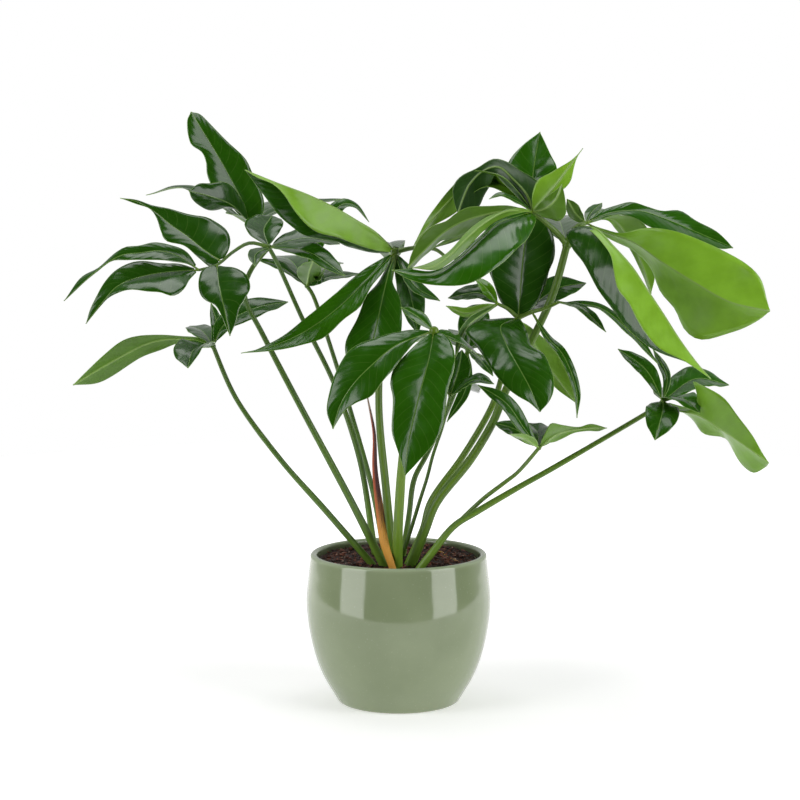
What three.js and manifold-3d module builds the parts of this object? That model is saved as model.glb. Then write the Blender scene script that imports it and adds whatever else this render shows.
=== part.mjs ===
// Potted green wonder philodendron: a glazed bowl pot, its bark soil, twelve compound fronds on long
// petioles, a dry sheath, a loose root and a plant clip. Millimetres, +Z up, the plant's front at -Y.
// The origin is the centre of the pot's flat underside.

import * as THREE from "three";
import { mergeVertices } from "three/addons/utils/BufferGeometryUtils.js";
import Module from "manifold-3d";

const wasm = await Module();
wasm.setup();

// Driving dimensions of the pot
const POT_FOOT_RADIUS = 70;
const POT_WIDEST_RADIUS = 112.5;
const POT_WIDEST_HEIGHT = 122;
const POT_RIM_RADIUS = 107.5;
const POT_HEIGHT = 183.5;
const POT_WALL = 8.5;
const POT_FLOOR = 16;
const POT_FLOOR_RADIUS = 62;
const POT_INSIDE_HEIGHTS = [175, 150, 110, 70, 40];
const POT_SIDES = 32;
const LIP_RISE = 4;
const LIP_TURNS = [45, 90, 135];

// The outside of the pot from above its foot to under its lip: [radius, height]
const POT_SIDE = [
  [POT_FOOT_RADIUS + 5, 2.5],
  [94.8, 38],
  [107, 78],
  [POT_WIDEST_RADIUS, POT_WIDEST_HEIGHT],
  [109.6, 160],
  [POT_RIM_RADIUS, POT_HEIGHT - LIP_RISE],
];
const POT_SIDE_STEPS = 9;

// Driving dimensions of the soil
const SOIL_HEIGHT = 172;
const SOIL_CROWN = 3;
const SOIL_SLOPE = 5; // that it is higher at the back wall than in the middle
const SOIL_SIDES = 24;
const SOIL_RINGS = [1, 0.82, 0.62, 0.42, 0.22, 0]; // shares of the radius that the top's rings stand at
const SOIL_FLOOR_RADIUS = 58;
const SOIL_SIDE_HEIGHTS = [41, 70, 110, 150];
const SOIL_CLEARANCE = 3; // between the soil and the pot's wall, over which the wall's flats come in
const SOIL_BUMP = 1.6;
const SOIL_BUMP_LENGTHS = { x: 6.5, y: 7.5, slant: 4.2 };
const SOIL_SLANT_SHARE = 0.6;
const CHIP_COUNT = 18;
const CHIP_LENGTH = [7, 15];
const CHIP_WIDTH_SHARE = [0.4, 0.7];
const CHIP_THICK = [4, 6];
const CHIP_TILT = 0.7; // radians
const CHIP_RISE = 0.6; // of its middle over the soil
const CHIP_SPREAD = 84; // radius within which chips lie
const CHIP_CLEAR = 10; // between a chip's end and the middle of a stem
const CHIP_SEED = 7;
const GAP = 0.4; // left between any piece and what it stands in

// Driving dimensions of the foliage
const BLADE_THICK = 1.0;
const STALK_SHARE = 0.05; // of a leaflet's length that is bare stalk
const STALK_HALF_WIDTH = 1.5;
const TIP_HALF_WIDTH = 0.6;
const FULLNESS = 0.72; // under 1 rounds a leaflet's sides out, unless its own full says otherwise
const DRIP_TIP = 0.3; // share of the width that the drawn-out tip loses
const DRIP_START = 0.8;
const PLAIN_PEAK = 0.5;
const PLAIN_FOLD = 0.15;
const WAVE = 0.05; // of the half width, at the margin
const WAVE_COUNT = 2.3;
const WAVE_LAG = 2; // radians between the waves of the two margins
const STEADY = 0.05; // share of a leaflet at either end over which its edges keep their direction
const FINE_STATIONS = [0, 0.06, 0.16, 0.28, 0.41, 0.54, 0.67, 0.79, 0.9, 1]; // where its edges are drawn
const PLAIN_STATIONS = [0, 0.1, 0.28, 0.5, 0.73, 0.9, 1];
const STEM_SIDES = 6;
const STEM_STEPS = 12;
const STEM_TAPER = 0.7; // under 1 narrows a stem faster near its foot
const ARM_STEPS = 3;
const ARM_SHARES = [0.9, 0.6]; // an arm's radii, as shares of its petiole's at the crown
const KNOB_SPARE = 2; // that a crown's knob is thicker than its petiole
const CROWN_REACH = 0.5; // that a stem goes on past its last place, into its crown
const ROOT_DEPTH = 16; // that a petiole stands in the soil

// The photograph's viewpoint. A place in the plant is [across, down, away]: the first two in the photograph's
// pixels, the third in millimetres behind the pot's axis, negative towards the viewer.
const VIEW = { axisAcross: 398.5, middleDown: 400, lens: 2370, tilt: THREE.MathUtils.degToRad(7) };
const EYE = { y: -2845, z: 720 };

function place([across, down, away]) {
  const dip = VIEW.tilt + Math.atan((down - VIEW.middleDown) / VIEW.lens);
  const z = EYE.z - (away - EYE.y) * Math.tan(dip);
  const depth = (away - EYE.y) * Math.cos(VIEW.tilt) + (EYE.z - z) * Math.sin(VIEW.tilt);
  return new THREE.Vector3(((across - VIEW.axisAcross) * depth) / VIEW.lens, away, z);
}

// The fronds. stem runs from the soil to the crown, foot and top are the petiole's radii there, and arms
// are the rachis branches. A leaflet's way runs from its stalk over its bends to its tip, face is the way that
// its glossy side looks, and fold how far its halves rise to that side. A leaflet's width is either wide, with
// peak where along the blade it is widest and full how round its sides are, or drawn by its two edges, from
// stalk to tip. A place on an edge lies in the leaflet's own plane where it doesn't say how far away it is.
const FRONDS = {
  frond_low_left: {
    stem: [[372, 564, -22], [326, 511, -28], [280, 459, -34], [237, 400, -38], [213, 346, -40]],
    foot: 4.6,
    top: 2.6,
    arms: [],
    leaflets: [
      { way: [[213, 346, -40], [187, 339, -48], [152, 342, -60], [115, 360, -76], [73, 385, -88]],
        face: [0, 0.8, 0.5], edges: [
          [[200, 338], [182, 336], [160, 335], [138, 336], [119, 342], [103, 356], [88, 370]],
          [[196, 345], [180, 343], [165, 348], [147, 355], [129, 365], [112, 376], [92, 384]],
        ] },
      { way: [[213, 346, -40], [194, 350, -78], [188, 368, -108]], wide: 44, face: [-0.35, -0.75, 0.6],
        fold: 0.4 },
      { way: [[213, 346, -40], [203, 332, 0], [190, 326, 40]], wide: 36, face: [0, -0.2, 1] },
      { way: [[213, 346, -40], [217, 325, -20], [211, 303, -4]], wide: 16, face: [-0.5, -0.8, 0.2] },
      { way: [[213, 346, -40], [225, 324, -30], [256, 308, -10], [288, 302, 15]],
        wide: 34, face: [0.1, -0.55, 0.8] },
    ],
  },
  frond_left: {
    stem: [
      [384, 566, -30], [350, 499, -40], [297, 400, -52], [262, 333, -60], [245, 298, -64], [250, 272, -66],
      [269, 247, -70],
    ],
    foot: 5.6,
    top: 2.6,
    arms: [[[269, 247, -70], [250, 243, -80], [233, 252, -90], [217, 265, -100], [199, 270, -108]]],
    leaflets: [
      { way: [[222, 262, -98], [203, 249, -82], [187, 236, -70], [171, 225, -62], [155, 212, -57],
              [138, 202, -54], [120, 198, -52]],
        face: [0.25, -0.85, 0.4], edges: [
          [[229, 250], [230, 237], [223, 226], [210, 218], [194, 216], [171, 209], [152, 205], [137, 200]],
          [[212, 268], [198, 257], [184, 246], [166, 241], [161, 231], [157, 219], [150, 209], [136, 204]],
        ] },
      { way: [[199, 270, -108], [180, 257, -118], [160, 251, -126], [140, 253, -134], [120, 256, -139],
              [97, 271, -143], [64, 301, -148]],
        face: [0, -0.7, 0.7], edges: [
          [[187, 252], [171, 245], [155, 242], [139, 246], [126, 247], [115, 253], [99, 267], [82, 277]],
          [[185, 263], [166, 261], [148, 260], [130, 260], [112, 261], [98, 271], [82, 284]],
        ] },
      { way: [[199, 270, -108], [168, 272, -126], [140, 277, -142], [118, 286, -154], [103, 302, -161],
              [86, 324, -166]],
        face: [-0.15, -0.75, 0.65], edges: [
          [[181, 264], [165, 263], [147, 262], [130, 263], [116, 270], [105, 281], [97, 296], [90, 310]],
          [[190, 279], [184, 290], [172, 296], [158, 291], [142, 290], [125, 291], [110, 297], [99, 308]],
        ] },
      { way: [[217, 265, -100], [219, 284, -126], [223, 303, -146], [230, 336, -168]],
        face: [0, -0.85, 0.5], fold: 0.1, edges: [
          [[203, 269], [199, 279], [199, 290], [204, 299], [215, 305], [222, 317], [226, 327]],
          [[227, 267], [240, 270], [248, 277], [250, 288], [247, 297], [240, 307], [236, 322]],
        ] },
      { way: [[269, 247, -70], [305, 238, -50], [340, 244, -36]], wide: 38, face: [0, -0.4, 0.9] },
      { way: [[269, 247, -70], [308, 252, -98], [345, 276, -115]], wide: 38, face: [0.2, -0.45, 0.87] },
      { way: [[269, 247, -70], [264, 230, -42], [272, 216, -8]], wide: 46, face: [0, -0.45, 0.9],
        fold: 0.3 },
      { way: [[269, 247, -70], [256, 254, -108], [255, 266, -134]], wide: 18, face: [0, -0.5, 0.8] },
    ],
  },
  frond_upper_left: {
    stem: [[373, 541, 2], [360, 461, 22], [336, 388, 38], [303, 320, 48], [272, 253, 52], [249, 224, 50]],
    foot: 4.2,
    top: 2.4,
    arms: [],
    leaflets: [
      { way: [[249, 224, 50], [243, 203, 49], [231, 179, 46], [218, 156, 40], [204, 133, 32], [191, 112, 20]],
        face: [0.25, -0.95, 0.15], edges: [
          [[262, 215], [264, 201], [259, 186], [252, 172], [245, 158], [229, 143], [218, 132], [201, 115]],
          [[240, 216], [228, 203], [214, 190], [207, 175], [206, 162], [202, 152], [190, 143], [187, 122]],
        ] },
      { way: [[249, 224, 50], [233, 206, 28], [213, 197, 8], [189, 191, -8]],
        face: [-0.1, -0.95, 0.3], edges: [
          [[244, 203], [234, 189], [224, 182], [210, 183], [198, 184]],
          [[238, 211], [226, 208], [212, 211], [200, 206], [192, 199]],
        ] },
      { way: [[249, 224, 50], [190, 189, 74], [146, 195, 92]], wide: 26, face: [0, -0.15, 1] },
      { way: [[249, 224, 50], [236, 216, 22], [226, 213, 0]], wide: 20, face: [0, -0.4, 0.9] },
      { way: [[249, 224, 50], [292, 206, 96], [343, 199, 135]], wide: 30, face: [0, -0.2, 1] },
      { way: [[249, 224, 50], [257, 206, 115], [262, 204, 175]], wide: 50, face: [0, -0.1, 1] },
    ],
  },
  frond_behind_left: {
    stem: [[383, 543, 24], [371, 484, 44], [349, 406, 66], [330, 345, 82], [315, 300, 90], [307, 286, 92]],
    foot: 4,
    top: 2.4,
    arms: [],
    leaflets: [
      { way: [[307, 286, 92], [281, 267, 84], [256, 259, 86]], wide: 20, face: [-0.2, -0.4, 0.9] },
      { way: [[307, 286, 92], [309, 273, 62], [313, 261, 34]], wide: 30, face: [0, 0.6, 0.8] },
      { way: [[307, 286, 92], [318, 278, 78], [325, 269, 62]], wide: 16, face: [0.5, -0.7, 0.5] },
      { way: [[307, 286, 92], [332, 277, 112], [363, 274, 140]], wide: 26, face: [0, -0.3, 0.95] },
      { way: [[307, 286, 92], [318, 242, 116], [337, 208, 136], [354, 205, 150], [369, 222, 166]],
        wide: 20, face: [0.2, -0.6, 0.8] },
      { way: [[307, 286, 92], [292, 262, 150], [276, 256, 205]], wide: 44, face: [0, -0.1, 1] },
      { way: [[307, 286, 92], [322, 268, 160], [338, 262, 225]], wide: 46, face: [0, -0.1, 1] },
    ],
  },
  frond_middle: {
    stem: [[391, 546, -4], [386, 489, -4], [380, 429, -8], [379, 381, -14], [383, 320, -22], [395, 252, -32]],
    foot: 6,
    top: 3.4,
    arms: [[[395, 252, -32], [414, 248, -12], [434, 249, 8], [446, 257, 22]]],
    leaflets: [
      { way: [[395, 252, -32], [376, 233, -52], [357, 221, -68], [335, 208, -82], [308, 195, -94],
              [277, 183, -104], [245, 170, -112]],
        face: [0, -0.1, -1], edges: [
          [[386, 252, -44], [370, 249, -58], [352, 243, -74], [335, 237, -90], [319, 232, -102],
           [305, 223, -110], [294, 210, -114], [285, 197, -118], [272, 184, -118], [257, 177, -116]],
          [[384, 253, -34], [366, 252, -46], [348, 247, -58], [336, 241, -68], [320, 239, -76],
           [304, 235, -82], [293, 228, -86], [280, 217, -90], [267, 199, -96], [256, 185, -102]],
        ] },
      { way: [[395, 252, -32], [366, 281, -70], [338, 308, -90], [306, 331, -106], [273, 346, -118],
              [241, 353, -128]],
        face: [-0.25, -0.8, 0.55], edges: [
          [[381, 259], [363, 270], [349, 281], [335, 294], [308, 316], [281, 337], [256, 350]],
          [[386, 268], [372, 286], [361, 306], [343, 320], [322, 338], [300, 346], [270, 351]],
        ] },
      { way: [[395, 252, -32], [388, 275, -58], [380, 310, -80], [372, 345, -95], [364, 378, -104]],
        face: [0, -0.95, 0.3], edges: [
          [[378, 282], [366, 297], [357, 319], [346, 341], [346, 360], [353, 372]],
          [[392, 280], [400, 298], [402, 320], [399, 344], [388, 364], [376, 374]],
        ] },
      { way: [[395, 252, -32], [410, 294, -4], [418, 334, 12]], wide: 34, face: [0.3, -0.9, 0.2] },
      { way: [[395, 252, -32], [414, 285, -20], [440, 301, -12]], wide: 24, face: [0.2, -0.6, 0.75] },
      { way: [[446, 257, 22], [467, 262, 60], [492, 272, 105]], wide: 44, face: [0, -0.3, 0.95] },
      { way: [[395, 252, -32], [389, 243, 50], [391, 263, 132]], wide: 40, face: [0, -0.2, 1] },
    ],
  },
  frond_front: {
    stem: [[397, 568, -44], [399, 510, -62], [405, 440, -90], [420, 375, -120], [434, 331, -140]],
    foot: 6.8,
    top: 4.2,
    arms: [],
    leaflets: [
      { way: [[434, 331, -140], [397, 345, -170], [370, 367, -186], [352, 386, -192], [340, 406, -196],
              [333, 429, -198]],
        face: [-0.35, -0.85, 0.4], edges: [
          [[411, 330], [388, 334], [365, 341], [347, 354], [336, 372], [329, 393], [327, 412]],
          [[417, 341], [405, 354], [395, 368], [383, 381], [370, 396], [355, 404], [344, 412]],
        ] },
      { way: [[434, 331, -140], [429, 359, -170], [422, 386, -190], [415, 413, -203], [408, 445, -213],
              [405, 476, -218]],
        face: [0, -0.95, 0.3], edges: [
          [[421, 340], [408, 352], [395, 366], [390, 383], [393, 399], [392, 430], [397, 449], [402, 464]],
          [[447, 336], [454, 350], [455, 367], [449, 386], [446, 404], [444, 422], [436, 441], [420, 460]],
        ] },
      { way: [[434, 331, -140], [418, 317, -115], [401, 307, -92]], wide: 16, face: [-0.3, -0.5, 0.8] },
      { way: [[434, 331, -140], [460, 342, -104], [483, 359, -62]], wide: 32, face: [0.2, -0.5, 0.85] },
      { way: [[434, 331, -140], [440, 345, -100], [452, 352, -68]], wide: 26, face: [0, -0.5, 0.85] },
    ],
  },
  frond_right: {
    stem: [
      [409, 563, -14], [423, 530, -6], [432, 500, 2], [461, 459, 12], [486, 418, 14], [498, 390, 12],
      [508, 350, 2], [518, 318, -18],
    ],
    foot: 5.4,
    top: 3.2,
    arms: [
      [[518, 318, -18], [508, 309, -26], [498, 304, -32]],
      [[518, 318, -18], [532, 312, -36], [546, 308, -44], [559, 302, -46]],
    ],
    leaflets: [
      { way: [[518, 318, -18], [520, 296, -4], [522, 270, 4], [525, 243, 9], [531, 212, 12]],
        face: [0, -0.95, 0.2], edges: [
          [[530, 311], [539, 300], [545, 287], [549, 272], [554, 260], [555, 247], [552, 232], [543, 219]],
          [[508, 311], [500, 300], [494, 285], [489, 271], [490, 256], [501, 238], [516, 221]],
        ] },
      { way: [[518, 318, -18], [554, 290, 26], [586, 283, 60]], wide: 40, face: [0.1, -0.6, 0.8] },
      { way: [[559, 302, -46], [582, 309, -66], [606, 332, -84]], wide: 18, face: [0.2, -0.4, 0.9] },
      { way: [[559, 302, -46], [600, 308, -30], [632, 334, -34], [658, 364, -48]],
        wide: 20, face: [0.2, -0.4, 0.9] },
      { way: [[518, 318, -18], [501, 326, -60], [506, 344, -88], [518, 366, -112], [530, 388, -128],
              [540, 412, -138]],
        face: [0.15, -0.9, 0.4], edges: [
          [[499, 318], [480, 322], [466, 329], [471, 339], [480, 350], [487, 362], [492, 372], [504, 385],
           [518, 396], [530, 403]],
          [[521, 321], [527, 331], [531, 343], [540, 352], [548, 362], [553, 375], [554, 389], [549, 402]],
        ] },
      { way: [[498, 304, -32], [467, 327, -66], [455, 358, -76]], wide: 16, face: [-0.5, 0.7, 0.5] },
      { way: [[532, 312, -36], [547, 337, -58], [561, 352, -74], [571, 372, -84], [577, 394, -90],
              [577, 418, -94]],
        wide: 13, face: [0.3, -0.8, 0.5] },
      { way: [[518, 318, -18], [546, 362, 26], [575, 402, 40]], wide: 36, face: [0.3, 0.8, 0.4] },
      { way: [[498, 304, -32], [478, 293, -16], [448, 298, -6]], wide: 30, face: [0, -0.55, 0.83] },
      { way: [[498, 304, -32], [488, 290, -40], [475, 278, -50]], wide: 15, face: [-0.5, -0.6, 0.6] },
      { way: [[498, 304, -32], [484, 308, -38], [466, 313, -46], [446, 306, -50]],
        wide: 15, face: [0, 0.8, 0.5] },
      { way: [[518, 318, -18], [530, 300, 66], [541, 294, 140]], wide: 54, face: [0, -0.15, 1] },
    ],
  },
  frond_top_right: {
    stem: [
      [410, 568, -32], [425, 530, -31], [438, 500, -28], [470, 460, -20], [493, 422, -14], [506, 390, -12],
      [533, 338, -10], [553, 294, -12], [567, 245, -10],
    ],
    foot: 6.2,
    top: 4.4,
    arms: [
      [[567, 245, -10], [558, 234, -18], [546, 223, -25], [533, 212, -30]],
      [[567, 245, -10], [571, 233, -8], [578, 226, -4], [586, 223, 0]],
    ],
    leaflets: [
      { way: [[533, 212, -30], [515, 217, -56], [497, 224, -76], [480, 239, -96], [461, 257, -114],
              [438, 273, -130], [415, 275, -142], [392, 270, -152]],
        face: [-0.1, -0.8, 0.6], edges: [
          [[521, 208], [507, 209], [494, 217], [487, 229], [473, 242], [460, 255], [446, 266], [430, 271],
           [410, 269]],
          [[536, 221], [527, 239], [517, 250], [503, 263], [489, 273], [472, 281], [452, 286], [430, 285],
           [408, 279]],
        ] },
      { way: [[533, 212, -30], [508, 211, -72], [486, 222, -96], [467, 238, -114], [449, 256, -128],
              [432, 267, -140], [412, 268, -148]],
        face: [0.1, 0.8, -0.3], edges: [
          [[520, 208], [496, 213], [476, 224], [459, 241], [444, 255], [426, 264]],
          [[520, 213], [498, 220], [483, 232], [468, 247], [452, 261], [436, 270]],
        ] },
      { way: [[533, 212, -30], [505, 211, -34], [480, 216, -38], [460, 223, -44], [442, 234, -50],
              [425, 250, -56], [408, 268, -60]],
        face: [0, 0.7, 0.7], edges: [
          [[512, 206], [490, 206], [469, 207], [456, 213], [446, 221], [431, 227], [419, 239], [411, 255]],
          [[512, 214], [491, 221], [472, 232], [454, 238], [439, 241], [427, 255], [415, 266]],
        ] },
      { way: [[533, 212, -30], [500, 219, -8], [475, 230, 2], [452, 240, 8], [433, 248, 10]],
        wide: 24, face: [0, 0.5, 0.85] },
      { way: [[533, 212, -30], [527, 195, -20], [514, 180, -8], [499, 167, 4], [483, 171, 14],
              [470, 184, 20], [463, 199, 24], [458, 214, 28]],
        face: [0, 0.95, 0.3], edges: [
          [[546, 191], [535, 179], [520, 170], [508, 162], [493, 159], [477, 168], [461, 176], [453, 187],
           [454, 202]],
          [[521, 201], [510, 190], [501, 181], [495, 175], [490, 186], [484, 197], [478, 207], [467, 211]],
        ] },
      { way: [[533, 212, -30], [505, 186, 20], [478, 180, 44], [458, 192, 54], [440, 211, 58],
              [425, 230, 58], [413, 247, 54]],
        face: [-0.2, 0.9, 0.3], edges: [
          [[508, 180], [484, 170], [463, 177], [448, 191], [434, 209], [424, 224], [417, 238]],
          [[506, 192], [484, 188], [468, 198], [457, 212], [441, 221], [428, 229], [419, 240]],
        ] },
      { way: [[533, 212, -30], [532, 186, 0], [535, 160, 22], [540, 132, 42]],
        face: [0, -0.93, 0.35], edges: [
          [[520, 200], [509, 182], [507, 167], [513, 155], [524, 144], [533, 137]],
          [[545, 198], [556, 182], [557, 168], [550, 153], [544, 140]],
        ] },
      { way: [[533, 212, -30], [545, 198, -36], [557, 184, -42], [567, 170, -46], [573, 161, -47],
              [583, 148, -48]],
        face: [0.1, 0.95, 0.2], edges: [
          [[532, 197], [537, 181], [548, 174], [560, 167], [570, 161], [577, 155]],
          [[544, 207], [556, 195], [566, 187], [571, 180], [574, 168], [577, 158]],
        ] },
      { way: [[533, 212, -30], [546, 208, -44], [556, 199, -50], [562, 184, -54]],
        face: [0.2, 0.9, 0.3], edges: [
          [[540, 203], [547, 196], [556, 190]],
          [[546, 218], [558, 221], [566, 213], [565, 197]],
        ] },
      { way: [[586, 223, 0], [575, 213, 12], [567, 199, 24]], wide: 18, face: [0, 0.8, 0.4] },
      { way: [[579, 226, -4], [596, 229, -30], [614, 247, -58], [632, 267, -82], [648, 291, -102],
              [664, 315, -118], [680, 340, -131], [697, 363, -142], [711, 379, -148]],
        face: [-0.8, -0.1, -0.6], edges: [
          [[592, 232, -34], [604, 245, -56], [611, 257, -72], [614, 273, -88], [618, 290, -102],
           [629, 303, -114], [637, 318, -124], [646, 334, -133], [659, 349, -141], [684, 361, -148]],
          [[566, 232, -14], [572, 248, -28], [583, 262, -44], [592, 277, -58], [600, 293, -70],
           [613, 311, -84], [628, 329, -98], [645, 344, -111], [663, 354, -124], [690, 364, -138]],
        ] },
      { way: [[586, 223, 0], [606, 232, -12], [635, 243, -30], [662, 262, -44], [697, 284, -58],
              [730, 302, -68], [770, 311, -76]],
        face: [0, 0.9, 0.4], edges: [
          [[604, 229], [622, 233], [645, 228], [672, 230], [700, 240], [728, 253], [748, 265], [761, 279],
           [767, 300]],
          [[610, 240], [634, 250], [650, 266], [660, 290], [672, 308], [683, 329], [705, 338], [735, 331],
           [758, 321]],
        ] },
      { way: [[586, 223, 0], [610, 213, 18], [640, 211, 30], [668, 220, 40], [696, 232, 44], [733, 248, 36]],
        face: [0, -0.6, 0.8], edges: [
          [[600, 211], [617, 205], [632, 202], [648, 207], [662, 211], [680, 210], [695, 220], [714, 230],
           [726, 240]],
          [[600, 220], [618, 215], [636, 218], [652, 228], [680, 237], [702, 244], [720, 249]],
        ] },
      { way: [[586, 223, 0], [612, 219, 26], [630, 240, 46], [643, 266, 58], [651, 294, 66]],
        face: [0.2, 0.8, 0.5], edges: [
          [[612, 215], [635, 217], [648, 230], [652, 252], [655, 275]],
          [[606, 220], [616, 230], [628, 246], [637, 263], [646, 284]],
        ] },
      { way: [[586, 223, 0], [592, 212, 20], [602, 203, 42]], wide: 16, face: [0, -0.3, 0.95] },
      { way: [[533, 212, -30], [516, 201, -34], [501, 195, -36], [489, 199, -36]],
        wide: 14, face: [0, -0.4, 0.9] },
      { way: [[567, 245, -10], [560, 222, 80], [556, 216, 160]], wide: 58, face: [0, -0.15, 1] },
      { way: [[586, 223, 0], [612, 214, 84], [636, 216, 160]], wide: 52, face: [0, -0.15, 1] },
    ],
  },
  frond_far_right: {
    stem: [
      [421, 567, -50], [431, 554, -49], [453, 527, -45], [478, 511, -44], [519, 487, -42], [560, 464, -40],
      [647, 413, -40], [663, 401, -40],
    ],
    foot: 5,
    top: 2.6,
    arms: [],
    leaflets: [
      { way: [[663, 401, -40], [662, 414, -86], [655, 440, -116]], wide: 40, face: [0, -0.75, 0.65] },
      { way: [[663, 401, -40], [646, 370, -20], [618, 349, 2]], wide: 22, face: [0.2, -0.8, 0.5] },
      { way: [[663, 401, -40], [667, 376, -26], [653, 349, -14]], wide: 12, face: [-0.6, -0.75, 0.1] },
      { way: [[663, 401, -40], [695, 379, 0], [729, 385, 22]], wide: 40, face: [0, -0.55, 0.83] },
      { way: [[663, 401, -40], [682, 398, -80], [700, 413, -106]], wide: 36, face: [0.2, -0.55, 0.8] },
      { way: [[663, 401, -40], [676, 410, -62], [700, 416, -92], [725, 432, -116], [748, 448, -130],
              [769, 463, -142]],
        face: [0, 0.85, 0.5], edges: [
          [[684, 407], [699, 405], [698, 393], [694, 381], [706, 386], [722, 399], [739, 417], [753, 436],
           [763, 454]],
          [[686, 414], [694, 421], [704, 432], [723, 440], [733, 450], [743, 465], [755, 471], [765, 468]],
        ] },
      { way: [[663, 401, -40], [670, 392, 30], [678, 390, 90]], wide: 40, face: [0, -0.15, 1] },
    ],
  },
  frond_low_right: {
    stem: [
      [432, 552, -18], [446, 535, -25], [464, 517, -31], [483, 499, -37], [504, 483, -42], [519, 471, -46],
      [539, 448, -58],
    ],
    foot: 3.4,
    top: 2.2,
    arms: [],
    leaflets: [
      { way: [[539, 448, -58], [516, 430, -38], [494, 423, -22]], wide: 24, face: [0, -0.65, 0.75] },
      { way: [[539, 448, -58], [524, 438, -88], [510, 434, -112]], wide: 18, face: [0, 0.4, 0.9] },
      { way: [[539, 448, -58], [537, 432, -20], [528, 423, 18]], wide: 34, face: [0, -0.35, 0.93] },
      { way: [[539, 448, -58], [556, 435, -50], [580, 429, -40], [607, 428, -30]],
        face: [0, 0.8, 0.6], edges: [
          [[543, 437], [551, 424], [563, 425], [578, 427], [592, 424]],
          [[547, 444], [557, 441], [571, 434], [586, 431], [598, 431]],
        ] },
      { way: [[539, 448, -58], [524, 428, -60], [506, 403, -63], [478, 385, -66]],
        wide: 20, face: [0.2, -0.8, 0.4] },
      { way: [[539, 448, -58], [549, 437, 0], [558, 431, 56]], wide: 34, face: [0, -0.15, 1] },
    ],
  },
  frond_back: {
    stem: [[404, 548, 18], [409, 515, 34], [414, 480, 46], [428, 452, 56], [450, 404, 76], [459, 380, 86],
           [468, 350, 98]],
    foot: 3.8,
    top: 2.8,
    arms: [],
    leaflets: [
      { way: [[468, 350, 98], [466, 388, 66], [447, 422, 48]], wide: 16, face: [-0.5, -0.8, 0.3] },
      { way: [[468, 350, 98], [482, 362, 76], [493, 376, 62]], wide: 16, face: [0, -0.4, 0.9] },
      { way: [[468, 350, 98], [498, 338, 154], [526, 346, 215]], wide: 50, face: [0, -0.15, 1] },
      { way: [[468, 350, 98], [442, 337, 152], [414, 342, 220]], wide: 50, face: [0, -0.15, 1] },
      { way: [[468, 350, 98], [469, 334, 172], [470, 342, 262]], wide: 54, face: [0, -0.1, 1] },
      { way: [[468, 350, 98], [473, 325, 106], [484, 304, 124]], wide: 40, face: [0.2, -0.8, 0.5] },
    ],
  },
  frond_thin: {
    stem: [[402, 557, 2], [412, 526, 4], [420, 500, 6], [427, 478, 5], [433, 455, 4], [443, 425, 0],
           [450, 396, -6]],
    foot: 2.8,
    top: 1.8,
    arms: [],
    leaflets: [
      { way: [[450, 396, -6], [434, 368, -30], [424, 344, -44]], wide: 34, face: [0, -0.8, 0.5] },
      { way: [[450, 396, -6], [458, 372, 8], [462, 350, 20]], wide: 30, face: [0, -0.85, 0.4] },
      { way: [[450, 396, -6], [474, 380, -24], [494, 384, -36]], wide: 24, face: [0.1, -0.5, 0.85] },
    ],
  },
};

// The dry sheath, from the soil up
const SHEATH = {
  spine: [[392, 567, -58], [384, 540, -53], [379, 505, -48], [375, 468, -46], [374, 432, -44], [368, 400, -44]],
  halfWidths: [4, 5.4, 4.8, 3.2, 2, 0.8],
  halfThick: 0.9,
  depth: 9,
};

// The loose root, which lies on the soil
const ROOT = {
  spine: [[436, 553, 40], [441, 552, 34], [448, 558, 18], [454, 560, 6], [460, 563, -4]],
  radius: 1.5,
  steps: 8,
  reach: 1,
};

// The clip: where it is along the back frond's petiole, its band, and the tube that a cane would go in
const CLIP = {
  along: 0.83,
  slack: 1.2,
  height: 15,
  wall: 2,
  sides: 16,
  tubeRadius: 5,
  tubeLength: 24,
  tubeSides: 12,
  tubeInset: 1,
};

const LOOKS = {
  glaze: { color: 0x8c9c7c, roughness: 0.15, metalness: 0 },
  soil: { color: 0x2b1a12, roughness: 0.95, metalness: 0 },
  leaf: { color: 0x1f5a1e, roughness: 0.3, metalness: 0 },
  sheath: { color: 0x7a2d17, roughness: 0.8, metalness: 0 },
  root: { color: 0xb9893a, roughness: 0.8, metalness: 0 },
  clip: { color: 0xe8e8ea, roughness: 0.45, metalness: 0 },
};

// Closed meshes and their joining

function closedGeometry(points, triangles) {
  const geometry = new THREE.BufferGeometry().setFromPoints(points);
  geometry.setIndex(triangles.flat());
  return geometry;
}

function solidOf(geometry) {
  const bare = geometry.clone();
  bare.deleteAttribute("normal");
  bare.deleteAttribute("uv");
  const merged = mergeVertices(bare, 1e-3);
  return new wasm.Manifold(
    new wasm.Mesh({
      numProp: 3,
      vertProperties: merged.attributes.position.array,
      triVerts: new Uint32Array(merged.index.array),
    }),
  );
}

function geometryOf(solid) {
  const mesh = solid.getMesh();
  const geometry = new THREE.BufferGeometry();
  geometry.setAttribute("position", new THREE.BufferAttribute(mesh.vertProperties, 3));
  geometry.setIndex(new THREE.BufferAttribute(mesh.triVerts, 1));
  geometry.computeVertexNormals();
  return geometry;
}

// The largest body of a solid, without loose scraps and with any sealed hollow filled
function mainBody(solid) {
  return solid.decompose().reduce((best, body) => (body.volume() > best.volume() ? body : best));
}

function joined(geometries) {
  return mainBody(geometries.map(solidOf).reduce((whole, piece) => whole.add(piece)));
}

function curveThrough(places) {
  return new THREE.CatmullRomCurve3(places.map(place), false, "catmullrom", 0.5);
}

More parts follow.
